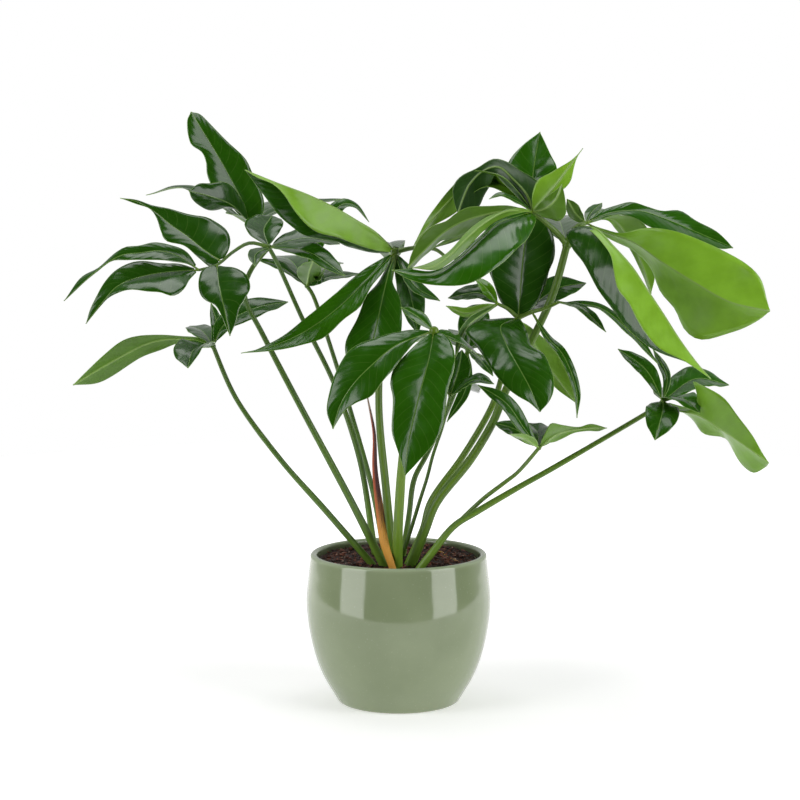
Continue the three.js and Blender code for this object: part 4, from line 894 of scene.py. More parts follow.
class PHILODENDRON_OT_stage(bpy.types.Operator):
    """Add the pale floor, the studio light and the camera at the photograph's viewpoint"""

    bl_idname = "philodendron.stage"
    bl_label = "Stage"

    def execute(self, context):
        settings = context.scene.philodendron_stage
        self.add_camera(context)
        self.add_surround(context)
        self.add_floor(settings)
        aside, before, up = SOFTBOX_SPOT
        for side in (-1, 1):
            self.add_light("softbox", (aside * side, before, up), SOFTBOX_SIZE, settings.box_power)
        self.add_light("overhead", OVERHEAD_SPOT, OVERHEAD_SIZE, settings.top_power)
        context.scene.view_settings.view_transform = "Standard"
        context.scene.view_settings.look = "None"
        return {"FINISHED"}

    def add_camera(self, context):
        data = bpy.data.cameras.new("photograph")
        data.sensor_width = 36
        data.lens = LENS_PIXELS * data.sensor_width / (2 * MIDDLE_DOWN)
        camera = bpy.data.objects.new("photograph", data)
        aside = (MIDDLE_DOWN - AXIS_ACROSS) * -EYE[1] / LENS_PIXELS
        camera.location = Vector((EYE + [aside, 0, 0]) * MM)
        camera.rotation_euler = (math.pi / 2 - TILT, 0, 0)
        context.scene.collection.objects.link(camera)
        context.scene.camera = camera

    def add_surround(self, context):
        """A white room behind the plant that dims towards the camera, and plain white where it is seen."""
        world = bpy.data.worlds.new("studio")
        world.use_nodes = True
        nodes, links = world.node_tree.nodes, world.node_tree.links
        background = nodes["Background"]
        heading = nodes.new("ShaderNodeSeparateXYZ")
        links.new(nodes.new("ShaderNodeTexCoord").outputs["Generated"], heading.inputs[0])
        glow = nodes.new("ShaderNodeMapRange")
        glow.interpolation_type = "SMOOTHSTEP"
        links.new(heading.outputs["Y"], glow.inputs["Value"])
        for socket, value in {"From Min": 0.0, "From Max": 0.7, "To Min": 0.012, "To Max": 0.6}.items():
            glow.inputs[socket].default_value = value
        seen = nodes.new("ShaderNodeMix")
        links.new(nodes.new("ShaderNodeLightPath").outputs["Is Camera Ray"], seen.inputs[0])
        links.new(glow.outputs[0], seen.inputs[2])
        seen.inputs[3].default_value = 1.0
        links.new(seen.outputs[0], background.inputs["Strength"])
        background.inputs["Color"].default_value = (1, 1, 1, 1)
        context.scene.world = world

    def add_floor(self, settings):
        finish = Finish("floor_paint", Roughness=0.7)
        finish.surface.inputs["Specular IOR Level"].default_value = 0.1
        grain = finish.noise(finish.where(), 3.0)
        tone = [0.985 * channel for channel in settings.floor]
        finish.colour(finish.blend(grain, solid_colour(settings.floor), solid_colour(tone)))
        finish.surface.inputs["Emission Color"].default_value = (1, 1, 1, 1)
        away = finish.node("ShaderNodeVectorMath", {0: finish.where()}, operation="LENGTH").outputs["Value"]
        glow = finish.ramp(away, 0.25, 1.3, settings.floor_glow, settings.floor_glow + 0.45)
        finish.feed(finish.surface.inputs["Emission Strength"], glow)
        sides = 96
        turns = np.linspace(0, 2 * math.pi, sides, endpoint=False)
        x, y = FLOOR_RADIUS * np.cos(turns), FLOOR_BEHIND + FLOOR_RADIUS * np.sin(turns)
        floor = Shape()
        floor.add(np.column_stack([x, y, np.zeros(sides)]), [tuple(range(sides))])
        floor.object("floor", [finish.material], smooth_faces=False)

    def add_light(self, name, spot, size, power):
        data = bpy.data.lights.new(name, "AREA")
        data.shape = "RECTANGLE"
        data.size, data.size_y = size
        data.energy = power
        light = bpy.data.objects.new(name, data)
        light.location = spot
        light.rotation_euler = (Vector(LIT_SPOT) - Vector(spot)).to_track_quat("-Z", "Y").to_euler()
        bpy.context.scene.collection.objects.link(light)


# The pot


def pot_outside():
    """The way down the pot's side, as radius and height, from the foot to just under the lip."""
    pot = bpy.context.scene.philodendron_pot
    foot, widest, rim = (size / MM for size in (pot.foot_radius, pot.widest_radius, pot.rim_radius))
    top = pot.height / MM
    profile = [(foot + 5, 2.5), *POT_SIDE, (widest, POT_BELLY_HEIGHT), POT_SHOULDER, (rim, top - POT_LIP)]
    return Way(np.array([(radius, height, 0.0) for radius, height in profile]))


def inside_radius(height):
    outside = pot_outside().at(np.linspace(0, 1, 200))
    return np.interp(height, outside[:, 1], outside[:, 0]) - bpy.context.scene.philodendron_pot.wall / MM


def lathe(shape, profile, sides, finish=0, **values):
    """Turns a profile of radius and height round the upright axis; radius 0 closes it."""
    turns = np.linspace(0, 2 * math.pi, sides, endpoint=False)
    radii, heights = np.asarray(profile, float).T
    x = np.outer(radii, np.cos(turns))
    y = np.outer(radii, np.sin(turns))
    z = np.repeat(heights[:, None], sides, axis=1)
    points = np.dstack([x, y, z]).reshape(-1, 3)
    shape.add(points, grid_faces(len(radii), sides, closed=True), finish, **values)


def glaze_finish(pot):
    finish = Finish("sage_glaze", Roughness=0.12, Coat_Weight=0.25, Coat_Roughness=0.03)
    where = finish.where()
    cloud = finish.noise(where, 9.0, detail=4.0)
    base = finish.blend(finish.ramp(cloud, 0.35, 0.7), solid_colour(pot.glaze_shade), solid_colour(pot.glaze))
    fleck = finish.ramp(finish.noise(where, 420.0, detail=1.0), 0.68, 0.78)
    base = finish.blend(finish.maths("MULTIPLY", fleck, 0.22), base, (0.42, 0.47, 0.33, 1))
    # The glaze turns a lighter green over the top of the lip.
    thin = finish.ramp(finish.value("lip"), 0.0, 1.0)
    base = finish.blend(finish.maths("MULTIPLY", thin, 0.45), base, (0.42, 0.50, 0.33, 1))
    finish.colour(base)
    finish.roughness(finish.ramp(cloud, 0.3, 0.7, 0.10, 0.16))
    finish.relief((finish.noise(where, 20.0, detail=1.0), 0.0005), (finish.noise(where, 300.0), 0.00003))
    return finish.material


def clay_finish(pot):
    finish = Finish("fired_clay", Roughness=0.85)
    where = finish.where()
    grain = finish.noise(where, 700.0, detail=4.0)
    finish.colour(finish.blend(grain, solid_colour(pot.clay), (0.42, 0.33, 0.24, 1)))
    finish.relief((grain, 0.0003))
    return finish.material


class PHILODENDRON_OT_pot(bpy.types.Operator):
    """Add the round glazed bowl pot with its rolled lip and bare foot"""

    bl_idname = "philodendron.pot"
    bl_label = "Pot"

    def execute(self, context):
        pot = context.scene.philodendron_pot
        foot, rim, wall = pot.foot_radius / MM, pot.rim_radius / MM, pot.wall / MM
        top, floor = pot.height / MM, pot.floor / MM
        shape = Shape("lip")
        base = [(0, 1.2), (foot - 16, 1.2), (foot - 12, 0.0), (foot - 1.2, 0.0), (foot, 0.3)]
        lathe(shape, base, POT_SIDES, finish=1)
        turn = [(foot, 0.3), (foot + 2.4, 0.9)]
        side = [(radius, height) for radius, height, _ in pot_outside().at(np.linspace(0, 1, 56))]
        lip = []
        for angle in np.linspace(0, math.pi, 15)[1:-1]:
            radius = rim - wall / 2 + wall / 2 * math.cos(angle)
            lip.append((radius, top - POT_LIP + POT_LIP * math.sin(angle)))
        depths = np.linspace(top - POT_LIP - 1, 40, 26)
        inside = [(inside_radius(height), height) for height in depths]
        bottom = [(74, 25), (62, floor), (30, floor), (0, floor)]
        profile = turn + side + lip + inside + bottom
        heights = np.array([height for _, height in profile])
        lip_share = np.repeat(smooth(top - 6, top - 0.5, heights), POT_SIDES)
        lathe(shape, profile, POT_SIDES, lip=lip_share)
        piece = shape.object("glazed_pot", [glaze_finish(pot), clay_finish(pot)])
        hand_over(piece, "pot")
        return {"FINISHED"}


# The soil


def soil_top(x, y):
    """The soil's height in millimetres, domed in the middle, higher at the back and uneven."""
    soil = bpy.context.scene.philodendron_soil
    rim = bpy.context.scene.philodendron_pot.rim_radius / MM
    share = np.hypot(x, y) / rim
    bump = np.sin(x / 6.5 + 1) * np.cos(y / 7.5) + 0.6 * np.sin((x - y) / 4.2)
    lie = soil.crown * (1 - share**2) + soil.slope * y / rim
    return soil.height / MM + lie / MM + SOIL_BUMP * bump


def bark_finish(soil):
    finish = Finish("bark", Roughness=0.7)
    where = finish.where()
    grain = finish.noise(finish.stretched(where, (900, 900, 300)), 1.0, detail=4.0)
    tint = finish.maths("ADD", finish.value("tint"), finish.ramp(grain, 0.3, 0.7, -0.25, 0.25))
    base = finish.blend(finish.ramp(tint, 0.0, 1.0), solid_colour(soil.dark), solid_colour(soil.light))
    finish.colour(base)
    finish.roughness(finish.ramp(grain, 0.3, 0.7, 0.45, 0.85))
    finish.relief((grain, 0.0006))
    return finish.material


def crumb_finish(soil):
    finish = Finish("pale_crumb", Roughness=0.8)
    grain = finish.noise(finish.where(), 1500.0, detail=3.0)
    finish.colour(finish.blend(grain, solid_colour(soil.pale), (0.30, 0.19, 0.12, 1)))
    finish.relief((grain, 0.0005))
    return finish.material


def chip_points(spot, length, width, thick, draw):
    """A broken chip of bark: three uneven rings along its length, tilted and half sunk."""
    sides = 5
    turns = np.linspace(0, 2 * math.pi, sides, endpoint=False) + draw.uniform(0, 2)
    rings = []
    for share, full in ((-0.5, 0.45), (0.02, 1.0), (0.5, 0.4)):
        spread = full * np.array([draw.uniform(0.75, 1.15) for _ in turns])
        across = np.cos(turns) * width / 2 * spread
        up = np.sin(turns) * thick / 2 * spread
        rings.append(np.column_stack([np.full(sides, share * length * draw.uniform(0.8, 1.1)), across, up]))
    yaw, pitch, roll = draw.uniform(0, 2 * math.pi), draw.gauss(0, 0.32), draw.gauss(0, 0.35)
    turned = np.vstack(rings) @ turning("X", roll).T @ turning("Y", pitch).T @ turning("Z", yaw).T
    return turned + spot, sides


def turning(axis, angle):
    c, s = math.cos(angle), math.sin(angle)
    return {
        "X": np.array([[1, 0, 0], [0, c, -s], [0, s, c]]),
        "Y": np.array([[c, 0, s], [0, 1, 0], [-s, 0, c]]),
        "Z": np.array([[c, -s, 0], [s, c, 0], [0, 0, 1]]),
    }[axis]


class PHILODENDRON_OT_soil(bpy.types.Operator):
    """Add the bark soil with its loose chips and pale crumbs"""

    bl_idname = "philodendron.soil"
    bl_label = "Soil"

    def execute(self, context):
        soil = context.scene.philodendron_soil
        shape = Shape("tint")
        self.add_bed(shape, soil)
        draw = random.Random(soil.seed)
        for _ in range(soil.chips):
            length = draw.triangular(2.2, 12.0, 3.6)
            width, thick = draw.uniform(0.35, 0.75) * length, draw.uniform(1.0, 2.6)
            self.add_chip(shape, soil, draw, length, width, thick, 0)
        for _ in range(soil.crumbs):
            length = draw.triangular(1.0, 3.4, 1.5)
            self.add_chip(shape, soil, draw, length, length * 0.8, length * 0.7, 1)
        piece = shape.object("bark_soil", [bark_finish(soil), crumb_finish(soil)], smooth_faces=False)
        hand_over(piece, "soil")
        return {"FINISHED"}

    def add_bed(self, shape, soil):
        """The soil as a whole: its uneven top, and the filling down to the pot's floor."""
        sides, edge = BED_SIDES, inside_radius(soil.height / MM) - BED_SPARE
        shares = np.linspace(0, 1, 46) ** 0.8
        turns = np.linspace(0, 2 * math.pi, sides, endpoint=False)
        x = np.outer(shares * edge, np.cos(turns))
        y = np.outer(shares * edge, np.sin(turns))
        z = soil_top(x, y) - 0.8
        for row, column in np.ndindex(z.shape):
            spot = Vector((x[row, column], y[row, column], 0))
            z[row, column] += 1.3 * noise.noise(spot / 3.1) + 0.9 * noise.noise(spot / 1.3)
        top = np.dstack([x, y, z])[::-1]
        lower = []
        for height in BED_HEIGHTS:
            radius = inside_radius(height) - BED_SPARE if height > BED_HEIGHTS[-1] else BED_FOOT_RADIUS
            ring = np.column_stack([radius * np.cos(turns), radius * np.sin(turns), np.full(sides, height)])
            lower.append(ring)
        rows = np.concatenate([np.array(lower[::-1]), top])
        faces = grid_faces(len(rows), sides, closed=True)
        faces.append(tuple(reversed(range(sides))))
        shape.add(rows.reshape(-1, 3), faces, 0, tint=0.12)

    def add_chip(self, shape, soil, draw, length, width, thick, finish):
        turn = draw.uniform(0, 2 * math.pi)
        out = (inside_radius(soil.height / MM) - 2 - length / 2) * math.sqrt(draw.random())
        x, y = out * math.cos(turn), out * math.sin(turn)
        spot = np.array([x, y, soil_top(x, y) + draw.uniform(-0.4, 1.3)])
        points, sides = chip_points(spot, length, width, thick, draw)
        faces = grid_faces(3, sides, closed=True)
        faces.append(tuple(reversed(range(sides))))
        faces.append(tuple(range(2 * sides, 3 * sides)))
        shape.add(points, faces, finish, tint=draw.betavariate(1.3, 2.6))


# The fronds


def half_widths(leaflet, along):
    """Half the blade's width in millimetres at shares of its length."""
    blade = np.clip((along - STALK_SHARE) / (1 - STALK_SHARE), 0, 1)
    skew = math.log(0.5) / math.log(leaflet.get("peak", PLAIN_PEAK))
    bulge = np.clip(np.sin(math.pi * blade**skew), 0, 1) ** leaflet.get("full", FULLNESS)
    drip = 1 - DRIP_TIP * smooth(DRIP_START, 1, blade)
    least = STALK_HALF_WIDTH + (TIP_HALF_WIDTH - STALK_HALF_WIDTH) * blade
    return np.maximum(least, leaflet["wide"] / 2 * bulge * drip)


def edge_way(leaflet, middle, edge):
    """The way of a drawn edge, from the stalk to the tip."""
    face = unit(np.array(leaflet["face"], float))
    fold = leaflet.get("fold", PLAIN_FOLD)
    spots = []
    for order, spot in enumerate(edge):
        if len(spot) == 3:
            spots.append(place(spot))
            continue
        beside = middle.at(np.array([(order + 1) / (len(edge) + 1)]))[0]
        near = place((*spot, 0))
        stride = place((*spot, 1)) - near
        flat = near + stride * ((beside - near) @ face / (stride @ face))
        lift = fold * np.linalg.norm(flat - beside)
        spots.append(flat + stride * math.copysign(lift, stride @ face))
    ends = places([leaflet["way"][0], leaflet["way"][-1]])
    return Way(np.vstack([ends[:1], spots, ends[1:]]))


def drawn_half(middle, edge, along, turned):
    """Half of a leaflet at shares of its length: the way out to its edge, how far, and its way up."""
    steady = np.clip(along, STEADY, 1 - STEADY)
    out = unit(edge.at(steady) - middle.at(steady))
    least = STALK_HALF_WIDTH + (TIP_HALF_WIDTH - STALK_HALF_WIDTH) * along
    half = np.maximum(least, np.linalg.norm(edge.at(along) - middle.at(along), axis=1))
    return out, half, turned * unit(np.cross(out, middle.heading(along)))


def halves_at(leaflet, middle, edges, along):
    """The two halves of a leaflet, seen with the glossy side up and the tip ahead."""
    if edges:
        return [drawn_half(middle, edge, along, turned) for edge, turned in zip(edges, (-1, 1))]
    forward = middle.heading(along)
    face = np.array(leaflet["face"], float)
    up = unit(face - forward * (forward @ face)[:, None])
    side = np.cross(forward, up)
    half = half_widths(leaflet, along)
    fold = leaflet.get("fold", PLAIN_FOLD)
    return [(hand * side + fold * up, half, up) for hand in (-1, 1)]


def edge_ways(leaflet, middle):
    """The ways of a leaflet's drawn edges, the left one first."""
    if "edges" not in leaflet:
        return None
    edges = [edge_way(leaflet, middle, edge) for edge in leaflet["edges"]]
    left, right = halves_at(leaflet, middle, edges, np.array([0.5]))
    facing = (left[2] + right[2])[0] @ np.array(leaflet["face"], float)
    return edges[::-1] if facing < 0 else edges


def add_blade(shape, leaflet, order, leaves):
    """One leaflet's blade: a glossy face, a dull underside with its raised midrib, and a thin margin."""
    rows, columns = BLADE_ROWS, BLADE_COLUMNS
    eased = np.linspace(0, 1, rows)
    first = 0.7 * STALK_SHARE
    along = first + (1 - first) * (0.6 * eased + 0.2 * (1 - np.cos(math.pi * eased)))
    even = np.linspace(-1, 1, columns)
    across = np.sign(even) * np.abs(even) ** 1.45
    way = Way(places(leaflet["way"]))
    centre = way.at(along)
    left, right = halves_at(leaflet, way, edge_ways(leaflet, way), along)
    on_left = (across < 0)[None, :]
    out = np.where(on_left[..., None], left[0][:, None], right[0][:, None])
    half = np.where(on_left, left[1][:, None], right[1][:, None])
    up = np.where(on_left[..., None], left[2][:, None], right[2][:, None])
    up[:, columns // 2] = unit(left[2] + right[2])
    a = np.abs(across)[None, :]
    lag = np.where(across < 0, WAVE_LAG, 0.0)[None, :]
    phase = 2 * math.pi * WAVE_COUNT * along[:, None] + order + lag
    ripple = RIPPLE * np.sin(2 * math.pi * RIPPLE_COUNT * along[:, None] + 1.7 * order + 2.4 * lag)
    lift = half * (ARCH * (a - a**2) + WAVE * np.sin(phase) * a**2 + ripple * a**3)
    middle = centre[:, None] + out * (a * half)[..., None] + up * lift[..., None]
    rib_distance = a * half
    taper = (1 - 0.75 * along)[:, None]
    thin = leaves.thickness / MM / 2 * (1 - 0.35 * a**4)
    groove = GROOVE_DEPTH * taper * np.exp(-((rib_distance / 0.9) ** 2))
    ridge = leaves.midrib / MM * taper * np.exp(-((rib_distance / (0.4 + 1.1 * taper)) ** 2))
    top = middle + up * (thin - groove)[..., None]
    bottom = middle - up * (thin + ridge)[..., None]
    veins = max(5, round(way.length / VEIN_SPACING))
    vein = veins * (along[:, None] - VEIN_SLANT * a**1.2) + 0.37 * order + 0.5 * (across > 0)[None, :]
    values = {
        "along": np.repeat(along, columns),
        "rib_distance": rib_distance.ravel(),
        "rim_distance": ((1 - a) * half).ravel(),
        "vein": vein.ravel(),
    }
    faces = grid_faces(rows, columns)
    # Painted light in part: the tints brighten some blades with light glowing through them and darken others
    # with painted shade.
    under_tint = leaflet.get("under", leaflet["tint"])
    shape.add(top.reshape(-1, 3), faces, 0, tint=leaflet["tint"], **values)
    shape.add(bottom.reshape(-1, 3), [face[::-1] for face in faces], 1, tint=under_tint, **values)
    close_rim(shape, rows, columns)
    shares = np.linspace(0, 1, STALK_RINGS)
    sunk = way.at(0.16 * shares) - up[0, columns // 2] * 0.9 * shares[:, None]
    radii = 1.45 - 0.95 * shares
    # The stalk's green follows its leaflet's tint, painted light included.
    add_stem(shape, Way(sunk), shares, radii, 8, 2, tint=0.45 + 0.4 * leaflet["tint"])


def add_knob(shape, spot, radius, tint):
    """The slight swelling where the leaflets' stalks leave the petiole."""
    rows, sides = 9, 14
    tilt = np.linspace(-math.pi / 2, math.pi / 2, rows)
    turns = np.linspace(0, 2 * math.pi, sides, endpoint=False)
    x = np.outer(np.cos(tilt), np.cos(turns))
    y = np.outer(np.cos(tilt), np.sin(turns))
    z = np.repeat(np.sin(tilt)[:, None], sides, axis=1)
    points = spot + radius * np.dstack([x, y, z]).reshape(-1, 3)
    shape.add(points, grid_faces(rows, sides, closed=True), 2, along=1.0, tint=tint)


def leaf_finish(name, leaves, under=False):
    finish = Finish(name, IOR=1.47)
    where = finish.where()
    tint = finish.value("tint")
    vein = finish.maths("FRACT", finish.value("vein"))
    from_vein = finish.maths("ABSOLUTE", finish.maths("SUBTRACT", vein, 0.5))
    rib = finish.value("rib_distance")
    rim = finish.value("rim_distance")
    mottle = finish.noise(where, 55.0, detail=3.0)
    # Partly painted light: the tint runs the green from dark, in part painted shade, to bright, in part
    # painted glow of light through the blade; the rest is the leaf's own age.
    if under:
        darker_green, lighter_green = solid_colour(leaves.under_dark), solid_colour(leaves.under_bright)
        base = finish.blend(finish.ramp(tint, 0.0, 1.0), darker_green, lighter_green)
    else:
        dark, middle = solid_colour(leaves.dark), solid_colour(leaves.middle)
        darker_green = finish.blend(finish.ramp(tint, 0.0, 0.5), dark, middle)
        base = finish.blend(finish.ramp(tint, 0.5, 1.0), darker_green, solid_colour(leaves.bright))
    shade = finish.ramp(mottle, 0.3, 0.75, 0.92, 1.08)
    base = finish.blend(1.0, base, finish.vector(shade, shade, shade), "MULTIPLY")
    line = finish.maths("MULTIPLY", finish.ramp(from_vein, 0.0, 0.06, 1.0, 0.0), finish.ramp(rib, 1.0, 5.0))
    base = finish.blend(finish.maths("MULTIPLY", line, 0.10), base, solid_colour(leaves.rib))
    width = 1.7 if under else 0.9
    rib_line = finish.ramp(rib, width * 0.4, width, 0.85 if under else 0.45, 0.0)
    base = finish.blend(rib_line, base, solid_colour(leaves.rib))
    # Painted light: a pale line along the margin, standing for light shining through the thin edge.
    edge_line = finish.ramp(rim, 0.15, 0.7, 0.7, 0.0)
    base = finish.blend(edge_line, base, solid_colour(leaves.rib))
    finish.colour(base)
    low, high = (0.30, 0.42) if under else (0.14, 0.24)
    finish.roughness(finish.ramp(mottle, 0.3, 0.7, low, high))
    pillow = finish.ramp(from_vein, 0.0, 0.5, 0.0, 1.0)
    held = finish.maths("MULTIPLY", pillow, finish.ramp(rib, 0.5, 6.0))
    fine = finish.noise(where, 900.0, detail=2.0)
    depth = leaves.vein_depth * (0.5 if under else 1.0)
    finish.relief((held, depth), (finish.noise(where, 30.0, detail=1.0), 0.0020), (fine, 0.00004))
    return finish.material


def petiole_finish(leaves):
    finish = Finish("petiole_skin", Roughness=0.32, IOR=1.45)
    along, tint = finish.value("along"), finish.value("tint")
    far = finish.maths("MULTIPLY", along, 3.0)
    skin = finish.vector(finish.value("round_x"), finish.value("round_y"), far)
    streak = finish.noise(skin, 2.2, detail=5.0, roughness=0.6)
    tone = finish.maths("ADD", tint, finish.ramp(streak, 0.3, 0.7, -0.12, 0.12))
    darker_green, lighter_green = solid_colour(leaves.petiole_dark), solid_colour(leaves.petiole_bright)
    base = finish.blend(finish.ramp(tone, 0.0, 1.0), darker_green, lighter_green)
    foot = finish.ramp(along, 0.04, 0.22, 0.55, 0.0)
    base = finish.blend(foot, base, (0.20, 0.36, 0.035, 1))
    fleck = finish.ramp(finish.noise(finish.where(), 520.0, detail=1.0), 0.66, 0.74, 0.0, 0.12)
    base = finish.blend(fleck, base, (0.30, 0.38, 0.14, 1))
    finish.colour(base)
    finish.roughness(finish.ramp(streak, 0.3, 0.7, 0.28, 0.42))
    finish.relief((streak, 0.0006), (finish.noise(finish.where(), 600.0), 0.00006))
    return finish.material


class PHILODENDRON_OT_fronds(bpy.types.Operator):
    """Add the fronds, each one petiole with its rachis, stalks and leaflets"""

    bl_idname = "philodendron.fronds"
    bl_label = "Fronds"

    def execute(self, context):
        leaves = context.scene.philodendron_leaves
        finishes = [
            leaf_finish("leaf_face", leaves),
            leaf_finish("leaf_underside", leaves, under=True),
            petiole_finish(leaves),
        ]
        for name, row in FRONDS.items():
            shape = Shape("along", "tint", "rib_distance", "rim_distance", "vein", "round_x", "round_y")
            self.add_petiole(shape, row)
            for order, leaflet in enumerate(row["leaflets"]):
                add_blade(shape, leaflet, order, leaves)
            piece = shape.object(name.replace("frond", "grown_frond"), finishes)
            hand_over(piece, name)
        return {"FINISHED"}

    def add_petiole(self, shape, row):
        way = petiole_way(row)
        shares = np.linspace(0, 1, PETIOLE_RINGS)
        radii = row["foot"] + (row["top"] - row["foot"]) * shares**PETIOLE_TAPER
        radii *= 1 + 0.12 * smooth(0.96, 1.0, shares) + 0.02 * np.sin(23 * shares)
        add_stem(shape, way, shares, radii, PETIOLE_SIDES, 2, tint=row["tint"])
        add_knob(shape, place(row["stem"][-1]), row["top"] * KNOB_SWELL, row["tint"])
        for arm in row["arms"]:
            shares = np.linspace(0, 1, ARM_RINGS)
            radii = row["top"] * (0.9 - 0.3 * shares)
            add_stem(shape, Way(places(arm)), shares, radii, ARM_SIDES, 2, tint=row["tint"])


# The dry sheath, the loose root and the clip


def sheath_finish(extras):
    finish = Finish("dry_sheath_skin", Roughness=0.5)
    along, across = finish.value("along"), finish.value("across")
    grain_at = finish.vector(finish.maths("MULTIPLY", across, 7.0), finish.maths("MULTIPLY", along, 5.0), 0.0)
    grain = finish.noise(grain_at, 1.6, detail=5.0, roughness=0.6)
    edge = finish.ramp(finish.maths("ADD", across, finish.maths("MULTIPLY", grain, 0.5)), -0.35, 0.15)
    base = finish.blend(edge, solid_colour(extras.sheath_red), solid_colour(extras.sheath_dark))
    stripe = finish.ramp(finish.maths("SUBTRACT", grain, along), 0.05, 0.32)
    base = finish.blend(stripe, base, solid_colour(extras.sheath_yellow))
    tip = finish.ramp(along, 0.82, 0.97)
    base = finish.blend(tip, base, solid_colour(extras.sheath_tip))
    finish.colour(base)
    finish.relief((grain, 0.0008))
    return finish.material


class PHILODENDRON_OT_dry_sheath(bpy.types.Operator):
    """Add the withered sheath that stands beside the petioles"""

    bl_idname = "philodendron.dry_sheath"
    bl_label = "Dry sheath"

    def execute(self, context):
        extras = context.scene.philodendron_extras
        way = Way(places(SHEATH_SPINE)).lengthened(SHEATH_DEPTH, CROWN_REACH)
        rows, columns = 72, 13
        along = np.linspace(0, 1, rows)
        across = np.linspace(-1, 1, columns)
        forward = way.heading(along)
        side = unit(np.array([1.0, 0, 0]) - forward * forward[:, :1])
        out = np.cross(forward, side)
        half = np.interp(along, np.linspace(0, 1, len(SHEATH_HALF_WIDTHS)), SHEATH_HALF_WIDTHS)[:, None]
        a = across[None, :]
        curl = 0.55 * half * (a**2 - 0.35) + 0.25 * np.sin(38 * along[:, None] + 3 * a) * np.abs(a)
        crimp = 1 + 0.05 * np.sin(17 * along[:, None] + 2 * a)
        middle = way.at(along)[:, None] + side[:, None] * (a * half * crimp)[..., None]
        middle = middle + out[:, None] * curl[..., None]
        shape = Shape("along", "across")
        values = {"along": np.repeat(along, columns), "across": np.tile(across, rows)}
        add_sheet(shape, middle, out, extras.sheath_thickness / MM, **values)
        piece = shape.object("withered_sheath", [sheath_finish(extras)])
        hand_over(piece, "dry_sheath")
        return {"FINISHED"}


def add_sheet(shape, middle, out, thickness, **values):
    """A grid of points made into a closed thin sheet."""
    rows, columns = middle.shape[:2]
    for side in (0.5, -0.5):
        points = middle + out[:, None] * side * thickness
        faces = grid_faces(rows, columns)
        shape.add(points.reshape(-1, 3), faces if side < 0 else [face[::-1] for face in faces], **values)
    close_rim(shape, rows, columns, turned=True)


def root_finish(extras):
    finish = Finish("dry_root_skin", Roughness=0.6)
    grain = finish.noise(finish.where(), 420.0, detail=4.0)
    worn = finish.ramp(grain, 0.35, 0.7)
    finish.colour(finish.blend(worn, solid_colour(extras.root), (0.36, 0.15, 0.04, 1)))
    finish.relief((grain, 0.0006))
    return finish.material


class PHILODENDRON_OT_loose_root(bpy.types.Operator):
    """Add the dry root that lies on the soil"""

    bl_idname = "philodendron.loose_root"
    bl_label = "Loose root"

    def execute(self, context):
        extras = context.scene.philodendron_extras
        way = Way(places(ROOT_SPINE)).lengthened(1, 1)
        shares = np.linspace(0, 1, 60)
        radii = 1.5 * (0.82 + 0.12 * np.sin(31 * shares) + 0.06 * np.sin(71 * shares))
        shape = Shape("along", "round_x", "round_y")
        add_stem(shape, way, shares, radii, 10, 0)
        piece = shape.object("dry_root", [root_finish(extras)])
        hand_over(piece, "loose_root")
        return {"FINISHED"}


def clip_finish(extras):
    finish = Finish("moulded_plastic", Roughness=0.4, IOR=1.5)
    where = finish.where()
    scuff = finish.noise(where, 260.0, detail=4.0)
    worn = finish.ramp(scuff, 0.55, 0.8, 0.0, 0.5)
    finish.colour(finish.blend(worn, solid_colour(extras.clip), (0.55, 0.55, 0.52, 1)))
    finish.roughness(finish.ramp(scuff, 0.3, 0.7, 0.35, 0.5))
    finish.relief((finish.noise(where, 1400.0), 0.00006))
    return finish.material


class PHILODENDRON_OT_plant_clip(bpy.types.Operator):
    """Add the white plastic clip: a band round a petiole, and a short open tube"""

    bl_idname = "philodendron.plant_clip"
    bl_label = "Plant clip"

    def execute(self, context):
        extras = context.scene.philodendron_extras
        row = FRONDS["frond_back"]
        way = petiole_way(row)
        centre = way.at(np.array([CLIP_ALONG]))[0]
        forward = way.heading(np.array([CLIP_ALONG]))[0]
        inner, half, soft = row["top"] + CLIP_SPARE, CLIP_HEIGHT / 2, CLIP_ROUNDING
        outer = inner + CLIP_WALL
        band = [(inner, -half + soft), (inner + soft, -half), (outer - soft, -half), (outer, -half + soft)]
        band += [(outer, half - soft), (outer - soft, half), (inner + soft, half), (inner, half - soft)]
        shape = Shape()
        lathe(shape, band + band[:1], 40)
        reach = outer + CLIP_TUBE_LENGTH - 1
        tube, bore = CLIP_TUBE_RADIUS, CLIP_BORE_RADIUS
        outside = [(0, outer - 0.6), (tube - 0.4, outer - 0.6), (tube, outer), (tube, reach - soft)]
        inside = [(bore + 0.5, reach), (bore + 0.1, reach - soft), (bore, outer + 3), (0, outer + 3)]
        lathe(shape, outside + [(tube - 0.4, reach)] + inside, 32)
        shape.points[1] = shape.points[1][:, [2, 0, 1]]
        turn = Vector((0, 0, 1)).rotation_difference(Vector(forward)).to_matrix()
        shape.points = [points @ np.array(turn).T + centre for points in shape.points]
        piece = shape.object("white_plant_clip", [clip_finish(extras)], smooth_faces=False)
        hand_over(piece, "plant_clip")
        return {"FINISHED"}


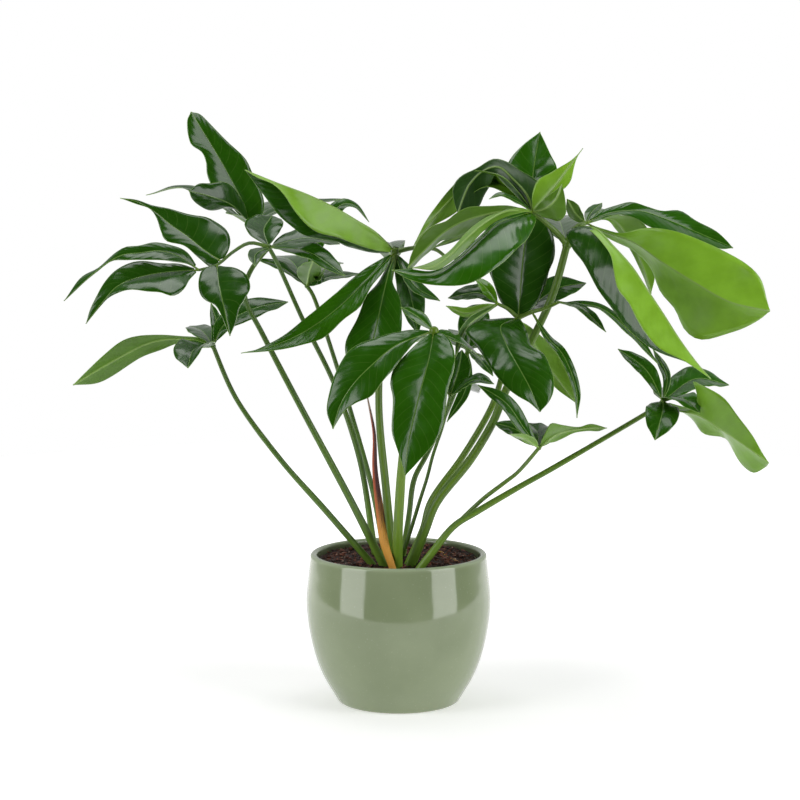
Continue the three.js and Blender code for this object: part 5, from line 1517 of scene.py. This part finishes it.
# The panel and the run


class PHILODENDRON_PT_pieces(bpy.types.Panel):
    """The plant's pieces, with their sizes and colours"""

    bl_idname = "PHILODENDRON_PT_pieces"
    bl_label = "Philodendron"
    bl_space_type = "VIEW_3D"
    bl_region_type = "UI"
    bl_category = "Philodendron"

    def draw(self, context):
        layout = self.layout
        for group, operators in PIECES.items():
            box = layout.box()
            settings = getattr(context.scene, group)
            for name in settings.bl_rna.properties.keys():
                if name not in ("rna_type", "name"):
                    box.prop(settings, name)
            for operator in operators:
                box.operator(operator.bl_idname)


GROUPS = {
    "philodendron_stage": PhilodendronStage,
    "philodendron_pot": PhilodendronPot,
    "philodendron_soil": PhilodendronSoil,
    "philodendron_leaves": PhilodendronLeaves,
    "philodendron_extras": PhilodendronExtras,
}
PIECES = {
    "philodendron_stage": [PHILODENDRON_OT_stage],
    "philodendron_pot": [PHILODENDRON_OT_pot],
    "philodendron_soil": [PHILODENDRON_OT_soil],
    "philodendron_leaves": [PHILODENDRON_OT_fronds],
    "philodendron_extras": [
        PHILODENDRON_OT_dry_sheath,
        PHILODENDRON_OT_loose_root,
        PHILODENDRON_OT_plant_clip,
    ],
}
OPERATORS = [operator for operators in PIECES.values() for operator in operators]


def register():
    for name, group in GROUPS.items():
        bpy.utils.register_class(group)
        setattr(bpy.types.Scene, name, bpy.props.PointerProperty(type=group))
    for shown in [*OPERATORS, PHILODENDRON_PT_pieces]:
        bpy.utils.register_class(shown)


def unregister():
    for shown in [PHILODENDRON_PT_pieces, *reversed(OPERATORS)]:
        bpy.utils.unregister_class(shown)
    for name, group in reversed(GROUPS.items()):
        delattr(bpy.types.Scene, name)
        bpy.utils.unregister_class(group)


def main():
    register()
    bpy.ops.philodendron.stage()
    bpy.ops.philodendron.pot()
    bpy.ops.philodendron.soil()
    bpy.ops.philodendron.fronds()
    bpy.ops.philodendron.dry_sheath()
    bpy.ops.philodendron.loose_root()
    bpy.ops.philodendron.plant_clip()


if __name__ == "__main__":
    main()
